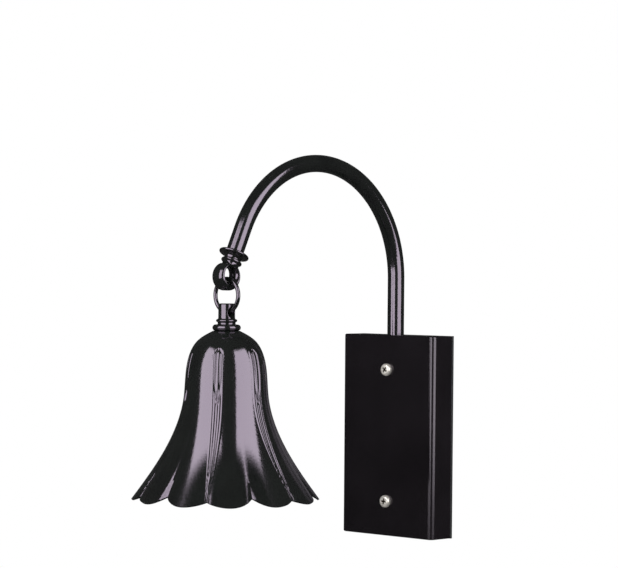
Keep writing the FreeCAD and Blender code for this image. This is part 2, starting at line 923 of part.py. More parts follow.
def shade_stations(curve):
    """Evenly spaced places along the outline, closer together on the shoulder."""
    first, last = curve.FirstParameter, curve.LastParameter
    steps = SHADE_RINGS - 1
    return [first + (last - first) * (i / steps) ** 1.15 for i in range(SHADE_RINGS)]


def shade_ring(curve, place_on, s, inset):
    """One closed ring of twelve arcs, creased at the petals' seams and ribs."""
    shoulder = s.shoulder_drop
    top = -curve.value(place_on).z
    reach = max(0.0, (top - shoulder) / (s.shade_height - shoulder))
    begin = min(1.0, top / shoulder)
    notch_share = reach ** 4

    def ring_point(angle, notch, depth_top, depth_rim):
        drop = top - notch * notch_share
        at = place_on
        if notch_share > 0:
            tangent = curve.tangent(place_on)[0]
            at = curve.parameter(curve.value(place_on) - tangent * notch * notch_share
                                 / max(abs(tangent.z), 0.3))
        spot = curve.value(at)
        tangent = curve.tangent(at)[0]
        inward = Vector(tangent.z, 0, -tangent.x)
        spot = spot + inward * inset
        depth = begin * (depth_top + (depth_rim - depth_top) * reach ** 2)
        radius = spot.x - depth
        turn = math.radians(angle)
        return Vector(radius * math.sin(turn), -radius * math.cos(turn), spot.z)

    step = 180.0 / PETALS
    creases = []
    crowns = []
    for k in range(2 * PETALS):
        angle = s.petal_turn + k * step
        if k % 2 == 0:
            sizes = (s.seam_notch, s.seam_depth_top, s.seam_depth_rim)
        else:
            sizes = (s.rib_notch, s.rib_depth_top, s.rib_depth_rim)
        creases.append(ring_point(angle, *sizes))
        crowns.append(ring_point(angle + step / 2, 0.0, 0.0, 0.0))
    edges = []
    for k in range(2 * PETALS):
        after = creases[(k + 1) % (2 * PETALS)]
        edges.append(Part.Arc(creases[k], crowns[k], after).toShape())
    return Part.Wire(edges)


def make_shade(doc, s):
    """The six-petal bell: a thin wall between an outer and an inner skin."""
    plain = plain_numbers(s)
    curve = shade_profile(plain)
    stations = shade_stations(curve)
    outer = [shade_ring(curve, at, plain, 0.0) for at in stations]
    inner = [shade_ring(curve, at, plain, plain.shade_wall) for at in stations]
    faces = list(Part.makeLoft(outer, False, False).Faces)
    faces += Part.makeLoft(inner, False, False).Faces
    for out_edge, in_edge in zip(outer[-1].Edges, inner[-1].Edges):
        faces.append(Part.makeRuledSurface(out_edge, in_edge))
    faces.append(Part.Face(outer[0]))
    faces.append(Part.Face(inner[0]))
    skin = Part.Shell(faces)
    skin.sewShape()
    bell = Part.Solid(skin)
    if bell.Volume < 0:
        bell.reverse()
    hole = Part.makeCylinder(plain.stem_thread / 2 + plain.shade_hole_gap,
                             plain.shoulder_drop * 4,
                             Vector(0, 0, -plain.shoulder_drop * 2))
    shade = doc.addObject("Part::Feature", "shade")
    shade.Label = "shade"
    shade.Shape = bell.cut(hole)
    y, z = hang_point(s)
    place(shade, 0, y, shade_top(s))
    return shade


# ---------------------------------------------------------------- lamp holder


def seat_underside(s):
    """How far below the shade's seat its inner face lies."""
    plain = plain_numbers(s)
    curve = shade_profile(plain)
    ceiling = shade_ring(curve, curve.FirstParameter, plain, plain.shade_wall)
    return -ceiling.BoundBox.ZMax


def make_washer(doc, s, under):
    bore = s.stem_thread / 2 + s.thread_gap
    body = turned(doc, "shade_washer", (bore, 0), [
        line(s.washer_diameter / 2, 0),
        line(s.washer_diameter / 2, s.washer_thickness),
        line(bore, s.washer_thickness),
        line(bore, 0),
    ])
    y, z = hang_point(s)
    place(body, 0, y, shade_top(s) - under - s.washer_thickness)
    return body


def hex_nut(doc, label, s, height, y, z):
    """A hexagon nut on the stem's thread."""
    body = new_body(doc, label)
    sketch = new_sketch(body, "XY_Plane", label + "_outline")
    flat = s.nut_flats / 2
    corner = s.nut_flats / root(as_size(3))
    draw(sketch, (corner, 0), [
        line(corner / 2, flat), line(-corner / 2, flat), line(-corner, 0),
        line(-corner / 2, -flat), line(corner / 2, -flat), line(corner, 0)])
    circle(sketch, 0, 0, s.stem_thread / 2 + s.thread_gap)
    pad(body, sketch, height)
    place(body, 0, y, z)
    return body


def make_socket_cup(doc, s, top):
    """The pressed cup on the stem that carries the lamp socket."""
    outer = s.cup_diameter / 2
    inner = outer - s.cup_wall
    bore = s.stem_thread / 2 + s.thread_gap
    corner = s.cup_wall * 2
    body = turned(doc, "socket_cup", (bore, 0), [
        line(bore, -s.cup_wall),
        line(inner - corner / 2, -s.cup_wall),
        arc(inner, -s.cup_wall - corner / 2, corner / 2, -1),
        line(inner, -s.cup_height),
        line(outer, -s.cup_height),
        line(outer, -corner),
        arc(outer - corner, 0, corner, 1),
        line(bore, 0),
    ])
    doc.recompute()
    holes = new_sketch(body, "YZ_Plane", "cup_holes")
    circle(holes, 0, rivet_height(s), s.rivet_diameter / 2 + s.thread_gap)
    pocket(body, holes, s.cup_diameter * 2, midplane=True)
    y, z = hang_point(s)
    place(body, 0, y, top)
    return body


def rivet_height(s):
    """The rivets' height below the cup's top."""
    return -s.cup_height + s.rivet_head


def make_lamp_socket(doc, s, top):
    """The moulded wedge-base socket inside the cup, its slot facing down."""
    radius = s.cup_diameter / 2 - s.cup_wall - s.socket_gap
    body = new_body(doc, "lamp_socket")
    sketch = new_sketch(body, "XY_Plane", "socket_outline")
    circle(sketch, 0, 0, radius)
    pad(body, sketch, s.socket_length, reverse=True)
    doc.recompute()
    slot = new_sketch(body, "XY_Plane", "socket_slot", lift=-s.socket_length)
    wide = s.socket_slot_width / 2
    thick = s.socket_slot_thickness / 2
    rectangle(slot, -wide, wide, -thick, thick)
    pocket(body, slot, s.socket_slot_depth, reverse=True)
    doc.recompute()
    holes = new_sketch(body, "YZ_Plane", "socket_holes")
    circle(holes, 0, rivet_height(s) + socket_drop(s), s.rivet_diameter / 2 + s.thread_gap)
    pocket(body, holes, s.cup_diameter * 2, midplane=True)
    y, z = hang_point(s)
    place(body, 0, y, top - socket_drop(s))
    return body


def socket_drop(s):
    """How far the socket's top lies below the cup's top: wall and jam nut."""
    return s.cup_wall + s.jam_nut_height + s.socket_gap


def make_socket_rivets(doc, s, top):
    """The two rivets through the cup into the socket."""
    radius = s.rivet_head / 2
    height = s.rivet_head / 4
    bulge = (radius * radius + height * height) / (height * 2)
    shank = s.rivet_diameter / 2
    depth = s.rivet_head
    rivet = turned(doc, "socket_rivet", (0, -depth), [
        line(shank, -depth),
        line(shank, 0),
        line(radius, 0),
        arc(0, height, bulge, 1),
        line(0, -depth),
    ])
    y, z = hang_point(s)
    place(rivet, s.cup_diameter / 2, y, top + rivet_height(s), (0, 1, 0), 90)
    return mirrored_pair(doc, "socket_rivets", rivet, (1, 0, 0))


def make_contacts(doc, s, mouth):
    """The two spring strips in the socket's slot, beside the bulb's wedge."""
    strip = new_body(doc, "socket_contact")
    sketch = new_sketch(strip, "XY_Plane", "contact_outline")
    face = -s.socket_slot_thickness / 2
    gap = s.socket_slot_width / 2 - s.contact_width
    rectangle(sketch, gap, gap + s.contact_width - s.socket_gap,
              face, face + s.contact_thickness)
    pad(strip, sketch, s.socket_slot_depth)
    y, z = hang_point(s)
    place(strip, 0, y, mouth)
    return mirrored_pair(doc, "socket_contacts", strip, (1, 0, 0))


def make_bulb_glass(doc, s, mouth):
    """The clear round-ended envelope of the small wedge-base bulb."""
    radius = s.bulb_diameter / 2
    wall = s.bulb_wall
    inner = radius - wall
    shoulder = s.bulb_diameter / 4
    flat = radius - shoulder
    tip = -s.bulb_length
    body = turned(doc, "bulb_glass", (wall, 0), [
        line(wall, -wall),
        line(flat, -wall),
        arc(inner, -shoulder, shoulder - wall, -1),
        line(inner, tip + radius),
        arc(0, tip + wall, inner, -1),
        line(0, tip),
        arc(radius, tip + radius, radius, 1),
        line(radius, -shoulder),
        arc(flat, 0, shoulder, 1),
        line(wall, 0),
    ])
    y, z = hang_point(s)
    place(body, 0, y, mouth)
    return body


def make_bulb_wedge(doc, s, mouth):
    """The bulb's flat glass base, pushed up into the socket's slot."""
    body = new_body(doc, "bulb_wedge")
    sketch = new_sketch(body, "XY_Plane", "wedge_outline")
    wide = s.wedge_width / 2
    half = s.wedge_thickness / 2
    rectangle(sketch, -wide, wide, -half, half)
    pad(body, sketch, s.wedge_length)
    y, z = hang_point(s)
    place(body, 0, y, mouth)
    return body


def make_filament(doc, s, mouth):
    """The filament on its two lead wires inside the bulb."""
    body = new_body(doc, "bulb_filament")
    level = -s.bulb_length + s.bulb_diameter
    half = s.filament_length / 2
    coil = new_sketch(body, "YZ_Plane", "filament_coil")
    circle(coil, 0, level, s.filament_diameter / 2)
    pad(body, coil, s.filament_length + s.lead_diameter * 2, midplane=True)
    doc.recompute()
    leads = new_sketch(body, "XY_Plane", "filament_leads", lift=level)
    for sign in (-1, 1):
        circle(leads, half * sign, 0, s.lead_diameter / 2)
    pad(body, leads, s.bulb_length - s.bulb_diameter - s.bulb_wall - s.lead_diameter)
    y, z = hang_point(s)
    place(body, 0, y, mouth)
    return body


def make_lamp_holder(doc, s):
    """Everything inside the bell, stacked downwards from the shade's seat."""
    y, z = hang_point(s)
    under = seat_underside(s)
    nut_top = shade_top(s) - under - s.washer_thickness
    cup_top = nut_top - s.nut_height
    socket_top = cup_top - socket_drop(s)
    mouth = socket_top - s.socket_length
    return [
        make_washer(doc, s, under),
        hex_nut(doc, "shade_nut", s, s.nut_height, y, cup_top),
        make_socket_cup(doc, s, cup_top),
        hex_nut(doc, "jam_nut", s, s.jam_nut_height, y,
                cup_top - s.cup_wall - s.jam_nut_height),
        make_lamp_socket(doc, s, cup_top),
        make_socket_rivets(doc, s, cup_top),
        make_contacts(doc, s, mouth),
        make_bulb_glass(doc, s, mouth),
        make_bulb_wedge(doc, s, mouth),
        make_filament(doc, s, mouth),
    ]


# ---------------------------------------------------------------- the light


def build(doc, s):
    """Every piece of the light, in the order in which it is put together."""
    pieces = [
        make_back_plate(doc, s),
        make_grommet(doc, s),
        make_cover_posts(doc, s),
        make_arm_saddle(doc, s),
        make_arm_strap(doc, s),
        make_strap_screws(doc, s),
        make_terminal_block(doc, s),
        make_terminal_screws(doc, s),
        make_arm_tube(doc, s),
        make_arm_seal(doc, s),
        make_cover(doc, s),
        make_cover_screws(doc, s),
        make_arm_bush(doc, s),
        make_hook(doc, s),
        make_link_ring(doc, s),
        make_shade_stem(doc, s),
        make_shade(doc, s),
    ]
    return pieces + make_lamp_holder(doc, s)


def check_and_write(doc, pieces):
    """Stop on any failed feature, then write one file for each piece."""
    for item in doc.Objects:
        if "Invalid" in item.State or "Error" in item.State:
            raise RuntimeError("%s failed: %s" % (item.Name, item.State))
    for piece in pieces:
        shape = piece.Shape
        if shape.isNull() or not shape.isValid() or not shape.Solids:
            raise RuntimeError("%s has no valid shape" % piece.Label)
    os.makedirs("parts", exist_ok=True)
    for piece in pieces:
        piece.Shape.exportStep(os.path.join("parts", piece.Label + ".step"))
        print("%-16s %d solid(s) %9.1f mm3" % (
            piece.Label, len(piece.Shape.Solids), piece.Shape.Volume))


def main():
    doc = FreeCAD.newDocument("wall_light")
    sizes = fill_sheet(doc)
    pieces = build(doc, sizes)
    doc.recompute()
    check_and_write(doc, pieces)
    y, z = hang_point(sizes)
    print("ring hangs at y %.3f z %.3f, shade seat at z %.3f" % (
        y.value, z.value, shade_top(sizes).value))


main()
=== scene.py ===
"""Dresses a wall light whose bell-flower shade hangs from a gooseneck tube."""

import math

import bmesh
import bpy
import numpy as np
from mathutils import Matrix, Vector


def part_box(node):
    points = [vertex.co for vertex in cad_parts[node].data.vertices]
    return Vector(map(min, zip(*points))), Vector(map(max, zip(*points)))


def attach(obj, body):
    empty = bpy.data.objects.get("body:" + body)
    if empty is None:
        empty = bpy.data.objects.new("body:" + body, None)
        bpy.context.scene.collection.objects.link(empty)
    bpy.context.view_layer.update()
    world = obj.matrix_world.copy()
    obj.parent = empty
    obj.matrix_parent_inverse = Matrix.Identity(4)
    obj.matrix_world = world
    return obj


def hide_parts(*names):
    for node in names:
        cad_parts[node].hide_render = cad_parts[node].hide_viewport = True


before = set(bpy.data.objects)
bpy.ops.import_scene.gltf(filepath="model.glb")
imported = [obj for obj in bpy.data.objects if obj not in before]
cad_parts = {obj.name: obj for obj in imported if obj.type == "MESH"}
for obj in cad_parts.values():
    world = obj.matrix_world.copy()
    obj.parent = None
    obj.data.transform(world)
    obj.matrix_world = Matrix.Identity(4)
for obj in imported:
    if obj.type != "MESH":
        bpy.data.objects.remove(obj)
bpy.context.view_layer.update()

bl_info = {
    "name": "Bell-flower wall light",
    "version": (1, 0, 0),
    "blender": (4, 5, 0),
    "location": "3D View > Sidebar > Wall Light",
    "description": "Builds the pieces, finishes and studio of a bell-flower wall light",
    "category": "Object",
}

MM = 0.001


# ---------------------------------------------------------------- sizes


def millimetres(name, default, description):
    """A length property; its default is given in millimetres."""
    return bpy.props.FloatProperty(
        name=name, description=description, default=default * MM,
        subtype="DISTANCE", unit="LENGTH")


def degrees(name, default, description):
    """An angle property; its default is given in degrees."""
    return bpy.props.FloatProperty(
        name=name, description=description, default=math.radians(default),
        subtype="ANGLE", unit="ROTATION")


def colour(name, default, description):
    """A colour property, in linear light."""
    return bpy.props.FloatVectorProperty(
        name=name, description=description, default=default, size=3,
        subtype="COLOR", min=0.0, max=1.0)


def number(name, default, description):
    """A plain number that is never below zero."""
    return bpy.props.FloatProperty(
        name=name, description=description, default=default, min=0.0)


def rounds(name, default, description):
    """How often something is done."""
    return bpy.props.IntProperty(
        name=name, description=description, default=default, min=0)


class ArmSizes(bpy.types.PropertyGroup):
    """Sizes of the gooseneck tube, its hook and the ring that hangs there."""

    tube_diameter: millimetres("Tube diameter", 9.48, "Outside of the tube")
    stand_off: millimetres("Stand-off", 10.6, "Leg of the tube from the wall")
    leg_top: millimetres("Leg top", 89.0, "Height at which the bend starts")
    bend_radius: millimetres("Bend radius", 63.5, "Centre line of the bend")
    bend_angle: degrees("Bend angle", 155.0, "Turn of the bend")
    end_length: millimetres("End length", 14.5, "Straight end after the bend")
    ring_radius: millimetres("Ring radius", 8.8, "Centre line of the ring's wire")
    ring_wire: millimetres("Ring wire", 2.3, "Thickness of the ring's wire")
    hook_grain: millimetres("Hook grain", 0.17, "Fineness of the cast hook's mesh")
    hook_softening: rounds("Hook softening", 8, "Smoothing rounds of the hook")


class ShadeSizes(bpy.types.PropertyGroup):
    """Sizes of the petal shade and of the stem that carries it."""

    thread: millimetres("Thread", 7.0, "Threaded shank in the shade")
    hole_gap: millimetres("Hole gap", 0.1, "Room round the threaded shank")
    wall: millimetres("Shade wall", 1.0, "Thickness of the shade's metal")
    seat_radius: millimetres("Seat radius", 7.2, "Flat seat under the collar")
    shoulder_drop: millimetres("Shoulder drop", 5.6, "Shoulder below the seat")
    shoulder_radius: millimetres("Shoulder radius", 15.8, "Radius there")
    barrel_drop: millimetres("Barrel drop", 17.3, "Barrel below the seat")
    barrel_radius: millimetres("Barrel radius", 21.0, "Radius there")
    waist_drop: millimetres("Waist drop", 36.0, "Waist below the seat")
    waist_radius: millimetres("Waist radius", 22.8, "Radius there")
    flare_drop: millimetres("Flare drop", 62.0, "Flare below the seat")
    flare_radius: millimetres("Flare radius", 31.8, "Radius there")
    rim_drop: millimetres("Rim drop", 90.0, "Rim below the seat")
    rim_radius: millimetres("Rim radius", 50.37, "Radius there")
    petal_turn: degrees("Petal turn", 4.5, "First seam from the front")
    seam_top: millimetres("Seam at top", 0.04, "Depth of a seam on the shoulder")
    seam_rim: millimetres("Seam at rim", 2.2, "Depth of a seam at the rim")
    rib_top: millimetres("Rib at top", 0.03, "Depth of a rib on the shoulder")
    rib_rim: millimetres("Rib at rim", 1.7, "Depth of a rib at the rim")
    seam_notch: millimetres("Seam notch", 4.2, "Notch in the rim at a seam")
    rib_notch: millimetres("Rib notch", 2.5, "Notch in the rim at a rib")
    crease_tightness: number("Crease tightness", 1.0, "How narrow creases get at the rim")
    vein_height: millimetres("Vein height", 0.2, "Fine veins beside each rib")
    vein_pitch: millimetres("Vein pitch", 1.35, "Between two fine veins")
    vein_rise: millimetres("Vein rise", 3.0, "Length over which the veins begin")
    eye_top: millimetres("Eye top", 9.5, "Top of each rib's long eye")
    eye_foot: millimetres("Eye foot", 38.0, "Point at the eye's foot")
    eye_width: millimetres("Eye width", 3.3, "Between the eye's two grooves")
    eye_depth: millimetres("Eye depth", 0.42, "Depth of those grooves")
    eye_groove: millimetres("Eye groove", 0.8, "Half the width of a groove")
    stem_grain: millimetres("Stem grain", 0.15, "Fineness of the cast stem's mesh")
    stem_softening: rounds("Stem softening", 6, "Smoothing rounds of the stem")


class BoxSizes(bpy.types.PropertyGroup):
    """Sizes of what shows on the wall box."""

    depth: millimetres("Depth", 17.5, "Cover's front from the wall")
    screw_spacing: millimetres("Screw spacing", 75.0, "Between the cover screws")
    screw_head: millimetres("Screw head", 7.0, "Diameter of a head")
    screw_height: millimetres("Screw height", 2.3, "Height of a head")
    screw_shank: millimetres("Screw shank", 3.4, "Diameter of the shank")
    screw_depth: millimetres("Screw depth", 7.0, "Length of the shank")
    screw_turn: degrees("Screw turn", 37.0, "Turn of the second screw")
    screw_edge: millimetres("Screw edge", 0.07, "Bevel of the screw's edges")
    recess_width: millimetres("Recess", 3.8, "Across the cross recess")
    recess_slot: millimetres("Recess slot", 0.95, "One slot of the recess")
    recess_depth: millimetres("Recess depth", 1.5, "Depth of the recess")
    # The recess lip is the bright band left above the painted shade in a recess.
    recess_lip: millimetres("Recess lip", 0.12, "Clean metal above the recess's dirt")


class Finishes(bpy.types.PropertyGroup):
    """Colours of the light's finishes."""

    gloss_paint: colour("Gloss paint", (0.0050, 0.0062, 0.0052), "Gloss black paint")
    satin_paint: colour("Satin paint", (0.0038, 0.0030, 0.0038), "Satin black paint")
    nickel: colour("Nickel", (0.93, 0.88, 0.81), "Bright screws")
    # The recess colour is painted shade for the screws' cross recesses.
    recess: colour("Recess", (0.045, 0.028, 0.018), "Dirt in the screws' recesses")
    zinc: colour("Zinc", (0.15, 0.155, 0.16), "Dark zinc-plated steel")
    rubber: colour("Rubber", (0.018, 0.018, 0.019), "Black rubber")
    plastic: colour("Plastic", (0.70, 0.68, 0.62), "Terminal block")
    ceramic: colour("Ceramic", (0.78, 0.75, 0.69), "Lamp socket")
    brass: colour("Brass", (0.76, 0.56, 0.26), "Brass pieces")
    glass: colour("Glass", (0.97, 0.98, 0.98), "Clear glass of the lamp")
    background: colour("Background", (1.0, 1.0, 1.0), "Colour behind the light")
    floor: colour("Floor", (0.8, 0.8, 0.8), "Floor, as the light's surroundings see it")


class Studio(bpy.types.PropertyGroup):
    """Camera, lights and floor."""

    azimuth: degrees("Azimuth", 45.0, "Camera round the light")
    elevation: degrees("Elevation", 2.3, "Camera above the horizon")
    roll: degrees("Roll", 0.418, "Turn of the picture")
    distance: millimetres("Distance", 1426.0, "Camera from its target")
    focal_pixels: number("Focal length", 2600.2, "Focal length in picture pixels")
    target_x: number("Target x", 296.8, "Target's column in the picture")
    target_y: number("Target y", 368.2, "Target's row in the picture")
    softbox_radiance: number("Softbox radiance", 4.0, "Brightness of the softboxes")
    softbox_distance: millimetres("Softbox distance", 1000.0, "Softboxes from the target")
    fade_start: degrees("Fade start", 42.0, "Height where the softboxes start to fade")
    fade_end: degrees("Fade end", 50.0, "Height where the softboxes end")
    flag_glow: number("Flag glow", 0.04, "Brightness of the dark flag")
    flag_distance: millimetres("Flag distance", 1900.0, "Dark flag from the target")
    fill: number("Fill", 0.8, "Soft light from all sides")
    floor_height: millimetres("Floor height", -1100.0, "Floor below the light")
    floor_reach: millimetres("Floor reach", 6000.0, "Half the floor's width")


GROUPS = {
    "arm": ArmSizes,
    "shade": ShadeSizes,
    "box": BoxSizes,
    "finish": Finishes,
    "studio": Studio,
}
PICTURE = (618, 568)
# The point that the camera and the lights are set round, in metres.
TARGET = Vector((0.0, -0.090, 0.040))
PETALS = 6

FINISH_NODES = {
    "gloss_black_paint": ("arm_tube", "hook", "link_ring", "shade_stem", "shade"),
    "satin_black_paint": ("cover",),
    "nickel": ("cover_screws", "strap_screws"),
    "zinc_steel": ("back_plate", "cover_posts", "arm_saddle", "arm_strap",
                   "shade_washer", "shade_nut", "socket_cup", "jam_nut",
                   "socket_rivets"),
    "brass": ("terminal_screws", "arm_bush", "socket_contacts"),
    "black_rubber": ("wire_grommet", "arm_seal"),
    "white_plastic": ("terminal_block",),
    "white_ceramic": ("lamp_socket",),
    "clear_glass": ("bulb_glass", "bulb_wedge"),
    "filament": ("bulb_filament",),
}
FINISH_OF = {node: finish for finish, nodes in FINISH_NODES.items() for node in nodes}


def settings(context, group):
    """The scene's values of one group of sizes or colours."""
    return getattr(context.scene, "wall_light_" + group)


# ---------------------------------------------------------------- materials


class Shading:
    """The shader nodes of a material or world, added one by one."""

    def __init__(self, owner):
        owner.use_nodes = True
        self.nodes = owner.node_tree.nodes
        self.links = owner.node_tree.links
        self.nodes.clear()

    def add(self, kind, **values):
        """A node with these socket values and settings."""
        node = self.nodes.new(kind)
        for name, value in values.items():
            socket = node.inputs.get(name.replace("_", " "))
            if socket is not None:
                socket.default_value = value
            else:
                setattr(node, name, value)
        return node

    def link(self, start, end):
        self.links.new(start, end)

    def maths(self, operation, *values):
        """An operation on numbers or on other nodes' outputs."""
        node = self.add("ShaderNodeMath", operation=operation)
        for socket, value in zip(node.inputs, values):
            if isinstance(value, (int, float)):
                socket.default_value = value
            else:
                self.link(value, socket)
        return node.outputs["Value"]

    def mix(self, share, first, second):
        """One shader where the share is 0 and another where it is 1."""
        node = self.add("ShaderNodeMixShader")
        for socket, value in zip(node.inputs, (share, first, second)):
            self.link(value, socket)
        return node.outputs["Shader"]


class Surface(Shading):
    """A material that ends in one shader."""

    def __init__(self, name):
        # The frame brings a plain material for each slot, which is dressed here.
        self.material = bpy.data.materials.get(name) or bpy.data.materials.new(name)
        super().__init__(self.material)
        self.shader = self.add("ShaderNodeBsdfPrincipled")
        out = self.add("ShaderNodeOutputMaterial")
        self.link(self.shader.outputs["BSDF"], out.inputs["Surface"])

    def set(self, **values):
        """Plain values on the shader's own sockets."""
        for name, value in values.items():
            self.shader.inputs[name.replace("_", " ")].default_value = value

    def place(self):
        """Object coordinates, in metres."""
        return self.add("ShaderNodeTexCoord").outputs["Object"]

    def noise(self, scale, detail=2.0):
        """Cloudy noise fixed to the object."""
        node = self.add("ShaderNodeTexNoise", Scale=scale, Detail=detail)
        self.link(self.place(), node.inputs["Vector"])
        return node.outputs["Fac"]

    def ramp(self, value, dark, light):
        """The value's 0.3 to 0.7 turned into a darker to a lighter colour."""
        node = self.add("ShaderNodeValToRGB")
        stops = ((0.3, dark), (0.7, light))
        for element, (position, shade) in zip(node.color_ramp.elements, stops):
            element.position = position
            element.color = (*shade, 1.0)
        self.link(value, node.inputs["Fac"])
        return node.outputs["Color"]

    def tone(self, value, base, darker, lighter):
        """A colour that wanders a little round its base."""
        return self.ramp(value, tuple(c * darker for c in base),
                         tuple(c * lighter for c in base))

    def spread(self, value, low, high):
        """The value's 0 to 1 turned into low to high."""
        node = self.add("ShaderNodeMapRange", To_Min=low, To_Max=high)
        self.link(value, node.inputs["Value"])
        return node.outputs["Result"]

    def bump(self, height, distance, strength, after=None):
        """Fine relief, in metres, on the plain surface or after another bump."""
        node = self.add("ShaderNodeBump", Strength=strength, Distance=distance)
        self.link(height, node.inputs["Height"])
        if after is not None:
            self.link(after, node.inputs["Normal"])
        return node.outputs["Normal"]

    def finish(self, tone=None, roughness=None, normal=None):
        """Join what was made to the shader."""
        for name, value in (("Base Color", tone), ("Roughness", roughness),
                            ("Normal", normal)):
            if value is not None:
                self.link(value, self.shader.inputs[name])


def gloss_paint(finish):
    """Thick gloss black paint with orange peel and fine grain."""
    s = Surface("gloss_black_paint")
    s.set(IOR=1.88, Coat_Weight=0.15, Coat_Roughness=0.05,
          Specular_Tint=(0.95, 0.79, 1.0, 1.0))
    tone = s.tone(s.noise(60.0), finish.gloss_paint, 0.8, 1.25)
    rough = s.spread(s.noise(900.0, detail=3.0), 0.08, 0.16)
    peel = s.bump(s.noise(420.0, detail=1.0), distance=0.00001, strength=0.5)
    grain = s.bump(s.noise(900.0), distance=0.000045, strength=0.6, after=peel)
    s.finish(tone, rough, grain)


def satin_paint(finish):
    """Satin black paint with fine specks."""
    s = Surface("satin_black_paint")
    s.set(IOR=1.62, Specular_Tint=(0.97, 0.88, 1.0, 1.0))
    tone = s.tone(s.noise(45.0), finish.satin_paint, 0.8, 1.3)
    rough = s.spread(s.noise(700.0, detail=3.0), 0.16, 0.24)
    specks = s.bump(s.noise(1500.0), distance=0.000003, strength=0.6)
    s.finish(tone, rough, specks)


def brushed_metal(name, base, smoothest, roughest, metallic=1.0):
    """Bare or plated metal with fine marks; returns its surface and colour."""
    s = Surface(name)
    s.set(Metallic=metallic)
    tone = s.tone(s.noise(90.0, detail=3.0), base, 0.85, 1.07)
    rough = s.spread(s.noise(700.0, detail=3.0), smoothest, roughest)
    marks = s.bump(s.noise(1400.0), distance=0.00001, strength=0.4)
    s.finish(tone, rough, marks)
    return s, tone


def bright_screws(finish, box):
    """Bright nickel whose cross recesses are painted dark, as painted shade."""
    s, unshaded_tone = brushed_metal("nickel", finish.nickel, 0.26, 0.38, metallic=0.7)
    split = s.add("ShaderNodeSeparateXYZ")
    s.link(s.place(), split.inputs["Vector"])
    x, y, z = (split.outputs[axis] for axis in "XYZ")
    # Painted shade lies near a cover screw's axis, below its crown.
    rise = s.maths("SUBTRACT", s.maths("ABSOLUTE", z), box.screw_spacing / 2)
    reach = s.maths("SQRT", s.maths("ADD", s.maths("MULTIPLY", x, x),
                                    s.maths("MULTIPLY", rise, rise)))
    near = s.maths("LESS_THAN", reach, box.recess_width * 0.56)
    sunk = s.maths("GREATER_THAN", y, box.recess_lip - box.depth - box.screw_height)
    # The recess colour is mixed in here as painted shade in the cross recess.
    recess_shade = s.add("ShaderNodeMix", data_type="RGBA")
    s.link(s.maths("MULTIPLY", near, sunk), recess_shade.inputs["Factor"])
    s.link(unshaded_tone, recess_shade.inputs["A"])
    recess_shade.inputs["B"].default_value = (*finish.recess, 1.0)
    s.link(recess_shade.outputs["Result"], s.shader.inputs["Base Color"])


def moulded(name, base, smoothest, roughest, coat=0.0):
    """Rubber, moulded plastic or glazed ceramic."""
    s = Surface(name)
    s.set(Coat_Weight=coat, Coat_Roughness=0.12)
    tone = s.tone(s.noise(70.0, detail=3.0), base, 0.88, 1.08)
    rough = s.spread(s.noise(1200.0), smoothest, roughest)
    grain = s.bump(s.noise(1200.0, detail=3.0), distance=0.00002, strength=0.5)
    s.finish(tone, rough, grain)


def clear_glass(finish):
    """Thin clear glass of the small lamp."""
    s = Surface("clear_glass")
    s.set(Transmission_Weight=1.0, IOR=1.47, Base_Color=(*finish.glass, 1.0))
    s.finish(roughness=s.spread(s.noise(300.0), 0.0, 0.03))


def filament_metal():
    """Dull tungsten and lead wire, with fine coiled marks."""
    s = Surface("filament")
    s.set(Metallic=1.0)
    wave = s.add("ShaderNodeTexWave", Scale=900.0, Distortion=0.5)
    s.link(s.place(), wave.inputs["Vector"])
    coils = wave.outputs["Fac"]
    s.finish(s.ramp(coils, (0.16, 0.15, 0.15), (0.42, 0.41, 0.40)),
             s.spread(coils, 0.3, 0.5))


def make_materials(finish, box):
    """Dress the frame's material of every slot."""
    gloss_paint(finish)
    satin_paint(finish)
    bright_screws(finish, box)
    brushed_metal("zinc_steel", finish.zinc, 0.30, 0.45)
    brushed_metal("brass", finish.brass, 0.22, 0.34)
    moulded("black_rubber", finish.rubber, 0.60, 0.78)
    moulded("white_plastic", finish.plastic, 0.42, 0.55)
    moulded("white_ceramic", finish.ceramic, 0.30, 0.42, coat=0.5)
    clear_glass(finish)
    filament_metal()


# ---------------------------------------------------------------- mesh tools


def new_piece(name, mesh, node, body):
    """Put a finished mesh in the scene in place of a CAD node."""
    piece = bpy.data.objects.new(name, mesh)
    bpy.context.scene.collection.objects.link(piece)
    mesh.materials.clear()
    mesh.materials.append(bpy.data.materials[FINISH_OF[node]])
    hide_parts(node)
    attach(piece, body)


def merge(mesh, distance, sliver=None):
    """Merge the doubles of a mesh and turn its faces outwards."""
    bm = bmesh.new()
    bm.from_mesh(mesh)
    bmesh.ops.remove_doubles(bm, verts=bm.verts, dist=distance)
    if sliver is not None:
        bmesh.ops.dissolve_degenerate(bm, edges=bm.edges, dist=sliver)
    bmesh.ops.recalc_face_normals(bm, faces=bm.faces)
    bm.to_mesh(mesh)
    bm.free()


def smooth(mesh, angle):
    """Smooth shading, with edges sharper than an angle in degrees left sharp."""
    mesh.shade_smooth()
    mesh.set_sharp_from_angle(angle=math.radians(angle))


def mesh_from(name, points, faces, angle):
    """A merged and smoothed mesh from its points and faces."""
    mesh = bpy.data.meshes.new(name)
    mesh.from_pydata([tuple(p) for p in points], [], faces)
    merge(mesh, 1e-7)
    smooth(mesh, angle)
    return mesh


def cad_copy(node):
    """A merged copy of a CAD node's mesh, in the scene's own frame."""
    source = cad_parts[node]
    mesh = source.data.copy()
    mesh.transform(source.matrix_world)
    merge(mesh, 2e-6, sliver=1e-6)
    return mesh


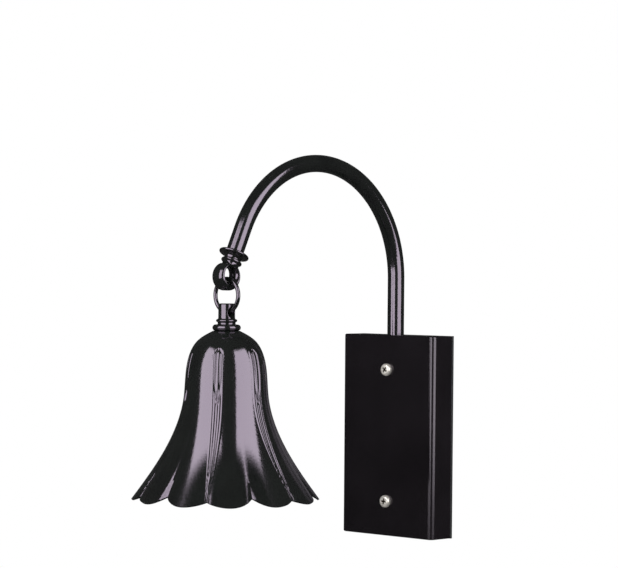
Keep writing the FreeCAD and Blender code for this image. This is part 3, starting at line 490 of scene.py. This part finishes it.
def evaluated_mesh(name, source, dress):
    """What a mesh becomes under the modifiers that dress() adds, made plain."""
    carrier = bpy.data.objects.new(name + "_source", source)
    bpy.context.scene.collection.objects.link(carrier)
    dress(carrier.modifiers)
    carrier.update_tag()
    bpy.context.view_layer.update()
    ready = carrier.evaluated_get(bpy.context.evaluated_depsgraph_get())
    mesh = bpy.data.meshes.new_from_object(ready)
    mesh.name = name
    carrier.modifiers.clear()
    bpy.data.objects.remove(carrier)
    if not mesh.polygons:
        raise RuntimeError(f"{name}: its modifiers left no faces")
    return mesh


def arc_points(centre, radius, start, end, steps):
    """Points of an arc in an outline, angles in degrees."""
    turns = (math.radians(start + (end - start) * i / steps)
             for i in range(steps + 1))
    return [Vector((centre[0] + radius * math.cos(turn),
                    centre[1] + radius * math.sin(turn))) for turn in turns]


def lathe(name, outline, segments, angle):
    """A closed outline of (radius, height) turned round the Z axis."""
    points, faces = [], []
    count = len(outline)
    for k in range(segments):
        turn = 2 * math.pi * k / segments
        points += [(spot.x * math.cos(turn), spot.x * math.sin(turn), spot.y)
                   for spot in outline]
    for k in range(segments):
        after = (k + 1) % segments
        for i in range(count):
            j = (i + 1) % count
            # A run along the axis has no faces.
            if max(outline[i].x, outline[j].x) > 1e-9:
                faces.append((k * count + i, after * count + i,
                              after * count + j, k * count + j))
    return mesh_from(name, points, faces, angle)


def spline_through(points, samples):
    """Smooth curve through (radius, drop) points, by chord length."""
    points = np.asarray(points, float)
    chord = np.linalg.norm(np.diff(points, axis=0), axis=1)
    knots = np.concatenate([[0.0], np.cumsum(chord)])
    count = len(points)
    matrix = np.zeros((count, count))
    right = np.zeros((count, 2))
    matrix[0, 0] = matrix[-1, -1] = 1.0
    for i in range(1, count - 1):
        h0, h1 = knots[i] - knots[i - 1], knots[i + 1] - knots[i]
        matrix[i, i - 1], matrix[i, i], matrix[i, i + 1] = h0, 2 * (h0 + h1), h1
        right[i] = 6 * ((points[i + 1] - points[i]) / h1
                        - (points[i] - points[i - 1]) / h0)
    bend = np.linalg.solve(matrix, right)
    at = np.linspace(0, knots[-1], samples)
    span = np.clip(np.searchsorted(knots, at, side="right") - 1, 0, count - 2)
    h = (knots[span + 1] - knots[span])[:, None]
    a = (knots[span + 1] - at)[:, None] / h
    b = 1 - a
    return (a * points[span] + b * points[span + 1]
            + ((a ** 3 - a) * bend[span] + (b ** 3 - b) * bend[span + 1]) * h ** 2 / 6)


# ---------------------------------------------------------------- the shade


# How quickly the creases and the rim's notches grow from shoulder to rim.
SEAM_POWER = 5
RIB_POWER = 3.4
NOTCH_POWER = 4
# How the fine veins draw together towards the rim.
VEIN_SPAN = 0.62
GATHERING = 0.62
GATHER_START = 0.45
GATHER_LENGTH = 0.5
GATHER_POWER = 1.5
# How the long eye opens at its top and closes at its foot.
EYE_OPENING = 14
EYE_CLOSING = 5
# How the shade's mesh is divided: round one petal, and down each skin.
PETAL_STEPS = 80
RIB_CROWDING = 0.65
SHOULDER_SHARE = 0.1
OUTER_ROWS = (18, 122)
INNER_ROWS = (10, 56)
LIP_SHARES = (0.2, 0.5, 0.8)
PROFILE_SAMPLES = 721


def shade_profile(size):
    """Crown outline of the shade, by arc length: radius and drop."""
    return spline_through([
        (size.seat_radius, 0.0), (size.shoulder_radius, size.shoulder_drop),
        (size.barrel_radius, size.barrel_drop), (size.waist_radius, size.waist_drop),
        (size.flare_radius, size.flare_drop), (size.rim_radius, size.rim_drop),
    ], PROFILE_SAMPLES)


def ridge(distance, width):
    """A round-topped ridge: 1 on its line and 0 a width away."""
    t = np.clip(1 - np.abs(distance) / width, 0, 1)
    return t * t * (3 - 2 * t)


def veins(size, angles, radius, drop, reach):
    """Fine lines along each petal's middle rib, with a long eye at the top."""
    petal = 2 * math.pi / PETALS
    middle = size.petal_turn + petal / 2
    across = ((angles - middle + petal / 2) % petal - petal / 2) * radius
    gather = np.clip((reach - GATHER_START) / GATHER_LENGTH, 0, 1) ** GATHER_POWER
    pitch = size.vein_pitch * (1 - GATHERING * gather)
    lines = sum(ridge(across - k * pitch, VEIN_SPAN * pitch) for k in range(-2, 3))
    rise = np.clip((drop - size.eye_top) / size.vein_rise, 0, 1)
    # The eye: two grooves that part at the top and meet in a point below.
    along = np.clip((drop - size.eye_top) / (size.eye_foot - size.eye_top), 0, 1)
    part = (size.eye_width / 2 * (1 - along ** EYE_CLOSING)
            * np.sqrt(np.clip(along * EYE_OPENING, 0, 1)))
    inside = (drop > size.eye_top) & (drop < size.eye_foot)
    grooves = inside * ridge(np.abs(across) - part, size.eye_groove)
    return lines * rise * size.vein_height - grooves * size.eye_depth


def shade_skin(size, profile, angles, rows, inset, veined):
    """A grid of points over one skin of the shade: rows down, angles round."""
    drops = profile[:, 1]
    tangent = np.gradient(profile, axis=0)
    tangent /= np.linalg.norm(tangent, axis=1)[:, None]
    # Place between a crease (0) and the next crease (1); crowns lie at 0.5.
    turn = (angles - size.petal_turn) / (math.pi / PETALS)
    index = np.floor(turn).astype(int)
    share = turn - index
    # Each arc bows from crease to crown to crease, and seams and ribs alternate.
    hollow = 1 - 4 * share * (1 - share)
    blend = share * share * (3 - 2 * share)
    ribbed = np.where(index % 2 == 0, blend, 1 - blend)
    grid = np.zeros((len(rows), len(angles), 3))
    for line, row in zip(grid, rows):
        top = row * size.rim_drop
        reach = max(0.0, (top - size.shoulder_drop)
                    / (size.rim_drop - size.shoulder_drop))
        begin = min(1.0, top / size.shoulder_drop)
        seam = size.seam_top + (size.seam_rim - size.seam_top) * reach ** SEAM_POWER
        rib = size.rib_top + (size.rib_rim - size.rib_top) * reach ** RIB_POWER
        depth = (begin * (seam * (1 - ribbed) + rib * ribbed)
                 * hollow ** (1 + size.crease_tightness * reach))
        notch = (reach ** NOTCH_POWER * hollow
                 * (size.seam_notch * (1 - ribbed) + size.rib_notch * ribbed))
        drop = np.clip(top - notch, drops[0], drops[-1])
        radius, slope_r, slope_z = (
            np.interp(drop, drops, column)
            for column in (profile[:, 0], tangent[:, 0], tangent[:, 1]))
        out = veins(size, angles, radius, drop, reach) if veined else -inset
        radius = radius - depth + out * slope_z
        line[:, 0] = radius * np.sin(angles)
        line[:, 1] = -radius * np.cos(angles)
        line[:, 2] = out * slope_r - drop
    return grid


def crowded_angles(size):
    """Angles round the shade, crowded round each rib, where the veins run."""
    petal = 2 * math.pi / PETALS
    t = np.linspace(-1, 1, PETAL_STEPS + 1)[:-1]
    spread = petal / 2 * ((1 - RIB_CROWDING) * t + RIB_CROWDING * t ** 3)
    return np.concatenate([size.petal_turn + petal * (k + 0.5) + spread
                           for k in range(PETALS)])


def shade_rows(shoulder_rows, lower_rows):
    """Rows from the seat (0) to the rim (1), closer over the shoulder."""
    return np.concatenate([np.linspace(0, SHOULDER_SHARE, shoulder_rows)[:-1],
                           np.linspace(SHOULDER_SHARE, 1, lower_rows)])


def add_ring(points, ring):
    """Add a ring of points and return the number of its first one."""
    points.extend(ring)
    return len(points) - len(ring)


def join_equal(faces, first, second, count):
    """Faces between two rings of the same number of points."""
    for i in range(count):
        k = (i + 1) % count
        faces.append((first + i, second + i, second + k, first + k))


def join_half(faces, fine, coarse, count):
    """Faces between a ring of 2 x count points and one of count points."""
    for i in range(count):
        a, m, b = fine + 2 * i, fine + 2 * i + 1, fine + (2 * i + 2) % (2 * count)
        c, d = coarse + i, coarse + (i + 1) % count
        faces += [(a, c, m), (m, c, d), (m, d, b)]


def build_shade(context):
    """The petal shade: two skins, a lip at the rim and a flat seat on top."""
    size = settings(context, "shade")
    low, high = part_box("shade")
    seat = Vector(((low[0] + high[0]) / 2, (low[1] + high[1]) / 2, high[2]))
    profile = shade_profile(size)
    angles = crowded_angles(size)
    outer = shade_skin(size, profile, angles, shade_rows(*OUTER_ROWS), 0.0, True)
    inner = shade_skin(size, profile, angles[::2], shade_rows(*INNER_ROWS),
                       size.wall, False)
    points, faces = [], []
    hole = size.thread / 2 + size.hole_gap
    seats, rims = [], []
    for skin in (outer, inner):
        count = skin.shape[1]
        around = skin[0].copy()
        around[:, :2] *= hole / np.linalg.norm(around[:, :2], axis=1)[:, None]
        rings = [add_ring(points, ring) for ring in (around, *skin)]
        for above, below in zip(rings, rings[1:]):
            join_equal(faces, above, below, count)
        seats.append(rings[0])
        rims.append(rings[-1])
    # The lip: the coarser inner rim, with a point between each two, meets the outer.
    between = (inner[-1] + np.roll(inner[-1], -1, axis=0)) / 2
    inner_rim = np.stack([inner[-1], between], axis=1).reshape(-1, 3)
    last = rims[0]
    for t in LIP_SHARES:
        ring = add_ring(points, outer[-1] * (1 - t) + inner_rim * t)
        join_equal(faces, last, ring, len(angles))
        last = ring
    join_half(faces, last, rims[1], inner.shape[1])
    join_half(faces, seats[0], seats[1], inner.shape[1])
    mesh = mesh_from("petal_shade", np.array(points) + np.array(seat), faces, 35)
    new_piece("petal_shade", mesh, "shade", "shade")


# ---------------------------------------------------------------- node trees


class Tree:
    """A Geometry Nodes tree with named inputs that paints what it makes."""

    def __init__(self, name, **inputs):
        self.tree = bpy.data.node_groups.new(name, "GeometryNodeTree")
        self.sockets = {}
        for label, kind in (*inputs.items(), ("Material", "Material")):
            socket = self.tree.interface.new_socket(
                label, in_out="INPUT", socket_type="NodeSocket" + kind)
            self.sockets[label] = socket.identifier
        self.tree.interface.new_socket(
            "Result", in_out="OUTPUT", socket_type="NodeSocketGeometry")
        self.given = self.add("NodeGroupInput").outputs

    def add(self, kind):
        return self.tree.nodes.new(kind)

    def link(self, start, end):
        self.tree.links.new(start, end)

    def close(self, geometry):
        """Realize the instances, set the material and hand the result out."""
        real = self.add("GeometryNodeRealizeInstances")
        painted = self.add("GeometryNodeSetMaterial")
        end = self.add("NodeGroupOutput")
        self.link(geometry, real.inputs["Geometry"])
        self.link(real.outputs["Geometry"], painted.inputs["Geometry"])
        self.link(self.given["Material"], painted.inputs["Material"])
        self.link(painted.outputs["Geometry"], end.inputs["Result"])

    def run(self, name, source, finish, **values):
        """Run a mesh through the tree and keep the result as a plain mesh."""
        values["Material"] = bpy.data.materials[finish]

        def dress(modifiers):
            modifier = modifiers.new("nodes", "NODES")
            modifier.node_group = self.tree
            for label, value in values.items():
                modifier[self.sockets[label]] = value

        return evaluated_mesh(name, source, dress)


def tube_tree():
    """A round tube along the path that comes in."""
    tree = Tree("Tube along path", Path="Geometry", Radius="Float", Sides="Int")
    curve = tree.add("GeometryNodeMeshToCurve")
    circle = tree.add("GeometryNodeCurvePrimitiveCircle")
    sweep = tree.add("GeometryNodeCurveToMesh")
    sweep.inputs["Fill Caps"].default_value = True
    even = tree.add("GeometryNodeSetShadeSmooth")
    tree.link(tree.given["Path"], curve.inputs["Mesh"])
    tree.link(tree.given["Radius"], circle.inputs["Radius"])
    tree.link(tree.given["Sides"], circle.inputs["Resolution"])
    tree.link(curve.outputs["Curve"], sweep.inputs["Curve"])
    tree.link(circle.outputs["Curve"], sweep.inputs["Profile Curve"])
    tree.link(sweep.outputs["Mesh"], even.inputs["Geometry"])
    tree.close(even.outputs["Geometry"])
    return tree


def repeat_tree():
    """One piece at every point that comes in, each turned further round Y."""
    tree = Tree("Piece at points", Points="Geometry", Piece="Object", Turn="Float")
    info = tree.add("GeometryNodeObjectInfo")
    number_of = tree.add("GeometryNodeInputIndex")
    angle = tree.add("ShaderNodeMath")
    angle.operation = "MULTIPLY"
    aim = tree.add("ShaderNodeCombineXYZ")
    copies = tree.add("GeometryNodeInstanceOnPoints")
    tree.link(tree.given["Points"], copies.inputs["Points"])
    tree.link(tree.given["Piece"], info.inputs["Object"])
    tree.link(info.outputs["Geometry"], copies.inputs["Instance"])
    tree.link(number_of.outputs["Index"], angle.inputs[0])
    tree.link(tree.given["Turn"], angle.inputs[1])
    tree.link(angle.outputs[0], aim.inputs["Y"])
    tree.link(aim.outputs["Vector"], copies.inputs["Rotation"])
    tree.close(copies.outputs["Instances"])
    return tree


def path_mesh(name, points, closed=False):
    """A mesh of edges through points, for a tube to follow."""
    edges = [(i, i + 1) for i in range(len(points) - 1)]
    if closed:
        edges.append((len(points) - 1, 0))
    mesh = bpy.data.meshes.new(name + "_path")
    mesh.from_pydata([tuple(p) for p in points], edges, [])
    return mesh


# ---------------------------------------------------------------- the pieces


# Steps along and sides round the tube, and the same for the ring's wire.
TUBE_STEPS, TUBE_SIDES = 120, 72
RING_STEPS, RING_SIDES = 160, 40
# Edges sharper than this, in degrees, stay sharp.
ROUND_SHARP = 50
SCREW_SHARP = 40
COVER_SHARP = 32
FITTING_SHARP = 35


def tube_path(size, foot):
    """Centre line of the gooseneck: up the wall, over the bend and down."""
    y = -size.stand_off
    points = [Vector((0, y, foot)), Vector((0, y, size.leg_top))]
    centre = Vector((0, y - size.bend_radius, size.leg_top))
    for i in range(1, TUBE_STEPS + 1):
        turn = size.bend_angle * i / TUBE_STEPS
        points.append(centre + size.bend_radius
                      * Vector((0, math.cos(turn), math.sin(turn))))
    heading = Vector((0, -math.sin(size.bend_angle), math.cos(size.bend_angle)))
    points.append(points[-1] + heading * size.end_length)
    return points


def build_tube(context):
    """The gooseneck tube and the ring in its hook, each along its own path."""
    size = settings(context, "arm")
    tree = tube_tree()
    path = tube_path(size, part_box("arm_tube")[0][2])
    tube = tree.run("gooseneck", path_mesh("gooseneck", path), FINISH_OF["arm_tube"],
                    Radius=size.tube_diameter / 2, Sides=TUBE_SIDES)
    tube.set_sharp_from_angle(angle=math.radians(ROUND_SHARP))
    new_piece("gooseneck", tube, "arm_tube", "bracket")

    low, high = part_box("link_ring")
    turns = (2 * math.pi * i / RING_STEPS for i in range(RING_STEPS))
    path = [(low + high) / 2
            + size.ring_radius * Vector((math.sin(turn), 0, math.cos(turn)))
            for turn in turns]
    ring = tree.run("hanging_ring", path_mesh("hanging_ring", path, closed=True),
                    FINISH_OF["link_ring"], Radius=size.ring_wire / 2,
                    Sides=RING_SIDES)
    new_piece("hanging_ring", ring, "link_ring", "link")
    bpy.data.node_groups.remove(tree.tree)


def cast_copy(node, voxel, softening):
    """A CAD node remeshed and softened, like a thickly painted casting."""

    def dress(modifiers):
        remesh = modifiers.new("remesh", "REMESH")
        remesh.mode = "VOXEL"
        remesh.voxel_size = voxel
        remesh.use_smooth_shade = True
        soften = modifiers.new("soften", "SMOOTH")
        soften.factor = 0.5
        soften.iterations = softening

    mesh = evaluated_mesh(node + "_cast", cad_copy(node), dress)
    mesh.shade_smooth()
    return mesh


def build_castings(context):
    """The hook and the shade's stem: soft castings under thick paint."""
    arm, shade = settings(context, "arm"), settings(context, "shade")
    hook = cast_copy("hook", arm.hook_grain, arm.hook_softening)
    new_piece("cast_hook", hook, "hook", "bracket")
    stem = cast_copy("shade_stem", shade.stem_grain, shade.stem_softening)
    new_piece("cast_stem", stem, "shade_stem", "shade")


# A screw's crown as a share of its head's height, and its point as one of its radius.
CROWN_SHARE = 0.62
POINT_SHARE = 0.4
# The crown's arc: where it starts and ends, in degrees, and its steps.
CROWN_ARC = (80, 0, 14)
SCREW_SEGMENTS = 96
# A recess blade's length and width, as shares of the recess's, at mouth and floor.
BLADE_MOUTH = (1.06, 1.1)
BLADE_FLOOR = (0.42, 0.75)
BLADE_ABOVE = 0.3 * MM
# Edges sharper than this, in degrees, are bevelled.
BEVEL_ANGLE = 38


def cross_cutter(size):
    """The cross recess as a mesh: two tapered blades that cross."""
    levels = ((size.screw_height + BLADE_ABOVE, *BLADE_MOUTH),
              (size.screw_height - size.recess_depth, *BLADE_FLOOR))
    bm = bmesh.new()
    for turn in (0, math.pi / 2):
        corners = []
        for z, long, wide in levels:
            reach, side = size.recess_width / 2 * long, size.recess_slot / 2 * wide
            for x, y in ((-reach, -side), (reach, -side), (reach, side), (-reach, side)):
                spot = Matrix.Rotation(turn, 3, "Z") @ Vector((x, y, z))
                corners.append(bm.verts.new(spot))
        for quad in ((0, 1, 2, 3), (7, 6, 5, 4), (0, 4, 5, 1), (1, 5, 6, 2),
                     (2, 6, 7, 3), (3, 7, 4, 0)):
            bm.faces.new([corners[i] for i in quad])
    bmesh.ops.recalc_face_normals(bm, faces=bm.faces)
    mesh = bpy.data.meshes.new("cross_cutter")
    bm.to_mesh(mesh)
    bm.free()
    return mesh


def crossed_screw(size):
    """One pan-head screw with a cross recess, its head towards -Y."""
    radius, height = size.screw_head / 2, size.screw_height
    shank, deep = size.screw_shank / 2, size.screw_depth
    crown, point = height * CROWN_SHARE, shank * POINT_SHARE
    outline = [Vector((0, height)),
               *arc_points((radius - crown, height - crown), crown, *CROWN_ARC),
               Vector((radius, 0)), Vector((shank, 0)), Vector((shank, point - deep)),
               Vector((shank - point, -deep)), Vector((0, -deep))]
    cutter = bpy.data.objects.new("cross_cutter", cross_cutter(size))
    bpy.context.scene.collection.objects.link(cutter)

    def dress(modifiers):
        cut = modifiers.new("recess", "BOOLEAN")
        cut.operation = "DIFFERENCE"
        cut.solver = "EXACT"
        cut.use_self = True
        cut.object = cutter
        bevel = modifiers.new("edges", "BEVEL")
        bevel.width = size.screw_edge
        bevel.segments = 2
        bevel.angle_limit = math.radians(BEVEL_ANGLE)

    blank = lathe("screw_blank", outline, SCREW_SEGMENTS, ROUND_SHARP)
    mesh = evaluated_mesh("cross_screw", blank, dress)
    bpy.data.objects.remove(cutter)
    smooth(mesh, SCREW_SHARP)
    mesh.transform(Matrix.Rotation(math.radians(90), 4, "X"))
    return mesh


def build_screws(context):
    """The two cover screws, one screw set at two points."""
    size = settings(context, "box")
    sample = bpy.data.objects.new("cross_screw", crossed_screw(size))
    bpy.context.scene.collection.objects.link(sample)
    half = size.screw_spacing / 2
    places = bpy.data.meshes.new("screw_places")
    places.from_pydata([(0, -size.depth, -half), (0, -size.depth, half)], [], [])
    tree = repeat_tree()
    mesh = tree.run("cover_screw_pair", places, FINISH_OF["cover_screws"],
                    Piece=sample, Turn=size.screw_turn)
    bpy.data.objects.remove(sample)
    bpy.data.node_groups.remove(tree.tree)
    mesh.set_sharp_from_angle(angle=math.radians(SCREW_SHARP))
    new_piece("cover_screw_pair", mesh, "cover_screws", "bracket")


def build_cover(context):
    """The box's cover and back plate, with even shading over their rounds."""

    def dress(modifiers):
        modifiers.new("even", "WEIGHTED_NORMAL").keep_sharp = True

    for node in ("cover", "back_plate"):
        plain = cad_copy(node)
        smooth(plain, COVER_SHARP)
        name = node + "_pressed"
        new_piece(name, evaluated_mesh(name, plain, dress), node, "bracket")


def build_lamp(context):
    """The lamp holder, the small lamp and the fittings in the box."""
    on_shade = ("shade_washer", "shade_nut", "socket_cup", "jam_nut", "lamp_socket",
                "socket_rivets", "socket_contacts", "bulb_glass", "bulb_wedge",
                "bulb_filament")
    on_wall = ("wire_grommet", "cover_posts", "arm_saddle", "arm_strap",
               "strap_screws", "terminal_block", "terminal_screws", "arm_seal",
               "arm_bush")
    for nodes, body in ((on_shade, "shade"), (on_wall, "bracket")):
        for node in nodes:
            mesh = cad_copy(node)
            smooth(mesh, FITTING_SHARP)
            new_piece(node + "_piece", mesh, node, body)


# ---------------------------------------------------------------- the studio


# Each softbox's edges in degrees of azimuth, from the camera's.
SOFTBOXES = {"softbox_left": (-74, -15), "softbox_right": (27, 76)}
SOFTBOX_HEIGHTS = (-8, 56)
# Steps that each is divided into, round and up.
SOFTBOX_STEPS = (24, 12)
FLAG_STEPS = (48, 24)
SENSOR_WIDTH = 36.0
CLIP_NEAR, CLIP_FAR = 0.05, 50.0


def direction(azimuth, elevation):
    """A direction round the light: azimuth from -Y toward +X."""
    return Vector((math.sin(azimuth) * math.cos(elevation),
                   -math.cos(azimuth) * math.cos(elevation), math.sin(elevation)))


def stage_piece(name, points, faces, material):
    """A piece of the studio, which is no part of the light."""
    mesh = bpy.data.meshes.new(name)
    mesh.from_pydata([tuple(p) for p in points], [], faces)
    mesh.materials.append(material)
    piece = bpy.data.objects.new(name, mesh)
    bpy.context.scene.collection.objects.link(piece)
    return piece


def patch(name, radius, azimuths, heights, steps, material):
    """Part of a sphere round the target, from angles in degrees."""
    around = np.radians(np.linspace(*azimuths, steps[0] + 1))
    upward = np.radians(np.linspace(*heights, steps[1] + 1))
    points = [TARGET + radius * direction(azimuth, elevation)
              for elevation in upward for azimuth in around]
    wide = steps[0] + 1
    corners = (j * wide + i for j in range(steps[1]) for i in range(steps[0]))
    faces = [(a, a + 1, a + wide + 1, a + wide) for a in corners]
    panel = stage_piece(name, points, faces, material)
    panel.visible_camera = False
    panel.visible_transmission = False
    return panel


def glow(name, strength, fade=None):
    """A glowing material, dark above a pair of heights where it fades."""
    material = bpy.data.materials.new(name)
    s = Shading(material)
    light = s.add("ShaderNodeEmission", Strength=strength)
    out = s.add("ShaderNodeOutputMaterial")
    s.link(light.outputs["Emission"], out.inputs["Surface"])
    if fade is not None:
        split = s.add("ShaderNodeSeparateXYZ")
        fall = s.add("ShaderNodeMapRange", interpolation_type="SMOOTHSTEP",
                     From_Min=fade[0], From_Max=fade[1], To_Min=strength, To_Max=0.0)
        place = s.add("ShaderNodeNewGeometry").outputs["Position"]
        s.link(place, split.inputs["Vector"])
        s.link(split.outputs["Z"], fall.inputs["Value"])
        s.link(fall.outputs["Result"], light.inputs["Strength"])
    return material


def build_softboxes(studio):
    """Two softboxes, and a dark flag all round that only reflections show."""
    centre = math.degrees(studio.azimuth)
    fade = [TARGET.z + math.sin(edge) for edge in (studio.fade_start, studio.fade_end)]
    for name, edges in SOFTBOXES.items():
        patch(name, studio.softbox_distance, [centre + edge for edge in edges],
              SOFTBOX_HEIGHTS, SOFTBOX_STEPS,
              glow(name, studio.softbox_radiance, fade))
    flag = patch("dark_flag", studio.flag_distance, (-180, 180), (-89, 89),
                 FLAG_STEPS, glow("dark_flag", studio.flag_glow))
    flag.visible_diffuse = False
    flag.visible_shadow = False


def background_world(scene, finish, fill):
    """The background where it is seen, and soft light from all sides."""
    world = bpy.data.worlds.new("studio")
    scene.world = world
    s = Shading(world)
    path = s.add("ShaderNodeLightPath").outputs
    seen = s.maths("MAXIMUM", s.maths("MAXIMUM", path["Is Camera Ray"],
                                      path["Is Glossy Ray"]),
                   path["Is Transmission Ray"])
    white = s.add("ShaderNodeBackground", Color=(*finish.background, 1.0), Strength=1.0)
    soft = s.add("ShaderNodeBackground", Color=(1.0, 1.0, 1.0, 1.0), Strength=fill)
    out = s.add("ShaderNodeOutputWorld")
    s.link(s.mix(seen, soft.outputs["Background"], white.outputs["Background"]),
           out.inputs["Surface"])


def build_floor(studio, finish):
    """A pale floor well below the light, white where the camera sees it."""
    material = bpy.data.materials.new("studio_floor")
    s = Shading(material)
    path = s.add("ShaderNodeLightPath").outputs
    pale = s.add("ShaderNodeBsdfPrincipled", Base_Color=(*finish.floor, 1.0),
                 Roughness=0.9)
    white = s.add("ShaderNodeEmission", Color=(*finish.background, 1.0), Strength=1.0)
    out = s.add("ShaderNodeOutputMaterial")
    s.link(s.mix(path["Is Camera Ray"], pale.outputs["BSDF"],
                 white.outputs["Emission"]), out.inputs["Surface"])
    reach, z = studio.floor_reach, studio.floor_height
    floor = stage_piece("studio_floor",
                        [(-reach, -reach, z), (reach, -reach, z),
                         (reach, reach, z), (-reach, reach, z)],
                        [(0, 1, 2, 3)], material)
    # The dark flag stands in for the floor in reflections, as round the photo.
    floor.visible_glossy = False


def build_camera(scene, studio):
    """The photo's camera, by its measured angle, distance and focal length."""
    back = direction(studio.azimuth, studio.elevation)
    lens = bpy.data.cameras.new("photo_camera")
    camera = bpy.data.objects.new("photo_camera", lens)
    scene.collection.objects.link(camera)
    width, height = PICTURE
    lens.sensor_width = SENSOR_WIDTH
    lens.sensor_fit = "HORIZONTAL"
    lens.lens = studio.focal_pixels * lens.sensor_width / width
    lens.shift_x = (width / 2 - studio.target_x) / width
    lens.shift_y = (studio.target_y - height / 2) / width
    lens.clip_start = CLIP_NEAR
    lens.clip_end = CLIP_FAR
    turn = back.to_track_quat("Z", "Y").to_matrix().to_4x4()
    camera.matrix_world = (Matrix.Translation(TARGET + back * studio.distance)
                           @ turn @ Matrix.Rotation(studio.roll, 4, "Z"))
    scene.camera = camera


# ---------------------------------------------------------------- the add-on


class WALLLIGHT_OT_materials(bpy.types.Operator):
    """Make the finishes"""

    bl_idname = "wall_light.materials"
    bl_label = "Make finishes"

    def execute(self, context):
        make_materials(settings(context, "finish"), settings(context, "box"))
        return {"FINISHED"}


class WALLLIGHT_OT_shade(bpy.types.Operator):
    """Build the six-petal shade"""

    bl_idname = "wall_light.shade"
    bl_label = "Build shade"

    def execute(self, context):
        build_shade(context)
        return {"FINISHED"}


class WALLLIGHT_OT_tube(bpy.types.Operator):
    """Build the gooseneck tube and the hanging ring"""

    bl_idname = "wall_light.tube"
    bl_label = "Build tube and ring"

    def execute(self, context):
        build_tube(context)
        return {"FINISHED"}


class WALLLIGHT_OT_castings(bpy.types.Operator):
    """Build the hook and the shade's stem"""

    bl_idname = "wall_light.castings"
    bl_label = "Build castings"

    def execute(self, context):
        build_castings(context)
        return {"FINISHED"}


class WALLLIGHT_OT_screws(bpy.types.Operator):
    """Build the cover screws"""

    bl_idname = "wall_light.screws"
    bl_label = "Build cover screws"

    def execute(self, context):
        build_screws(context)
        return {"FINISHED"}


class WALLLIGHT_OT_cover(bpy.types.Operator):
    """Build the box's cover and back plate"""

    bl_idname = "wall_light.cover"
    bl_label = "Build cover"

    def execute(self, context):
        build_cover(context)
        return {"FINISHED"}


class WALLLIGHT_OT_lamp(bpy.types.Operator):
    """Build the lamp holder, the lamp and the inner pieces"""

    bl_idname = "wall_light.lamp"
    bl_label = "Build lamp and inner pieces"

    def execute(self, context):
        build_lamp(context)
        return {"FINISHED"}


class WALLLIGHT_OT_studio(bpy.types.Operator):
    """Set the camera, the lights, the floor and the background"""

    bl_idname = "wall_light.studio"
    bl_label = "Set the studio"

    def execute(self, context):
        scene = context.scene
        studio = settings(context, "studio")
        finish = settings(context, "finish")
        background_world(scene, finish, studio.fill)
        build_floor(studio, finish)
        build_softboxes(studio)
        build_camera(scene, studio)
        scene.view_settings.view_transform = "Standard"
        return {"FINISHED"}


OPERATORS = (WALLLIGHT_OT_materials, WALLLIGHT_OT_shade, WALLLIGHT_OT_tube,
             WALLLIGHT_OT_castings, WALLLIGHT_OT_screws, WALLLIGHT_OT_cover,
             WALLLIGHT_OT_lamp, WALLLIGHT_OT_studio)


class WALLLIGHT_PT_panel(bpy.types.Panel):
    """Sizes, finishes and build buttons of the wall light"""

    bl_idname = "WALLLIGHT_PT_panel"
    bl_label = "Wall light"
    bl_space_type = "VIEW_3D"
    bl_region_type = "UI"
    bl_category = "Wall Light"

    def draw(self, context):
        for group in GROUPS:
            box = self.layout.box()
            values = settings(context, group)
            for name in values.bl_rna.properties.keys():
                if name not in ("name", "rna_type"):
                    box.prop(values, name)
        for operator in OPERATORS:
            self.layout.operator(operator.bl_idname)


def register():
    """Make the light's properties, operators and panel known to Blender."""
    for group, kind in GROUPS.items():
        bpy.utils.register_class(kind)
        setattr(bpy.types.Scene, "wall_light_" + group,
                bpy.props.PointerProperty(type=kind))
    for kind in (*OPERATORS, WALLLIGHT_PT_panel):
        bpy.utils.register_class(kind)


def unregister():
    """Take them away again, last first."""
    for kind in reversed((*OPERATORS, WALLLIGHT_PT_panel)):
        bpy.utils.unregister_class(kind)
    for group, kind in reversed(list(GROUPS.items())):
        delattr(bpy.types.Scene, "wall_light_" + group)
        bpy.utils.unregister_class(kind)


def main():
    """Build the light and its studio."""
    register()
    for operator in OPERATORS:
        group, name = operator.bl_idname.split(".")
        getattr(getattr(bpy.ops, group), name)()


if __name__ == "__main__":
    main()
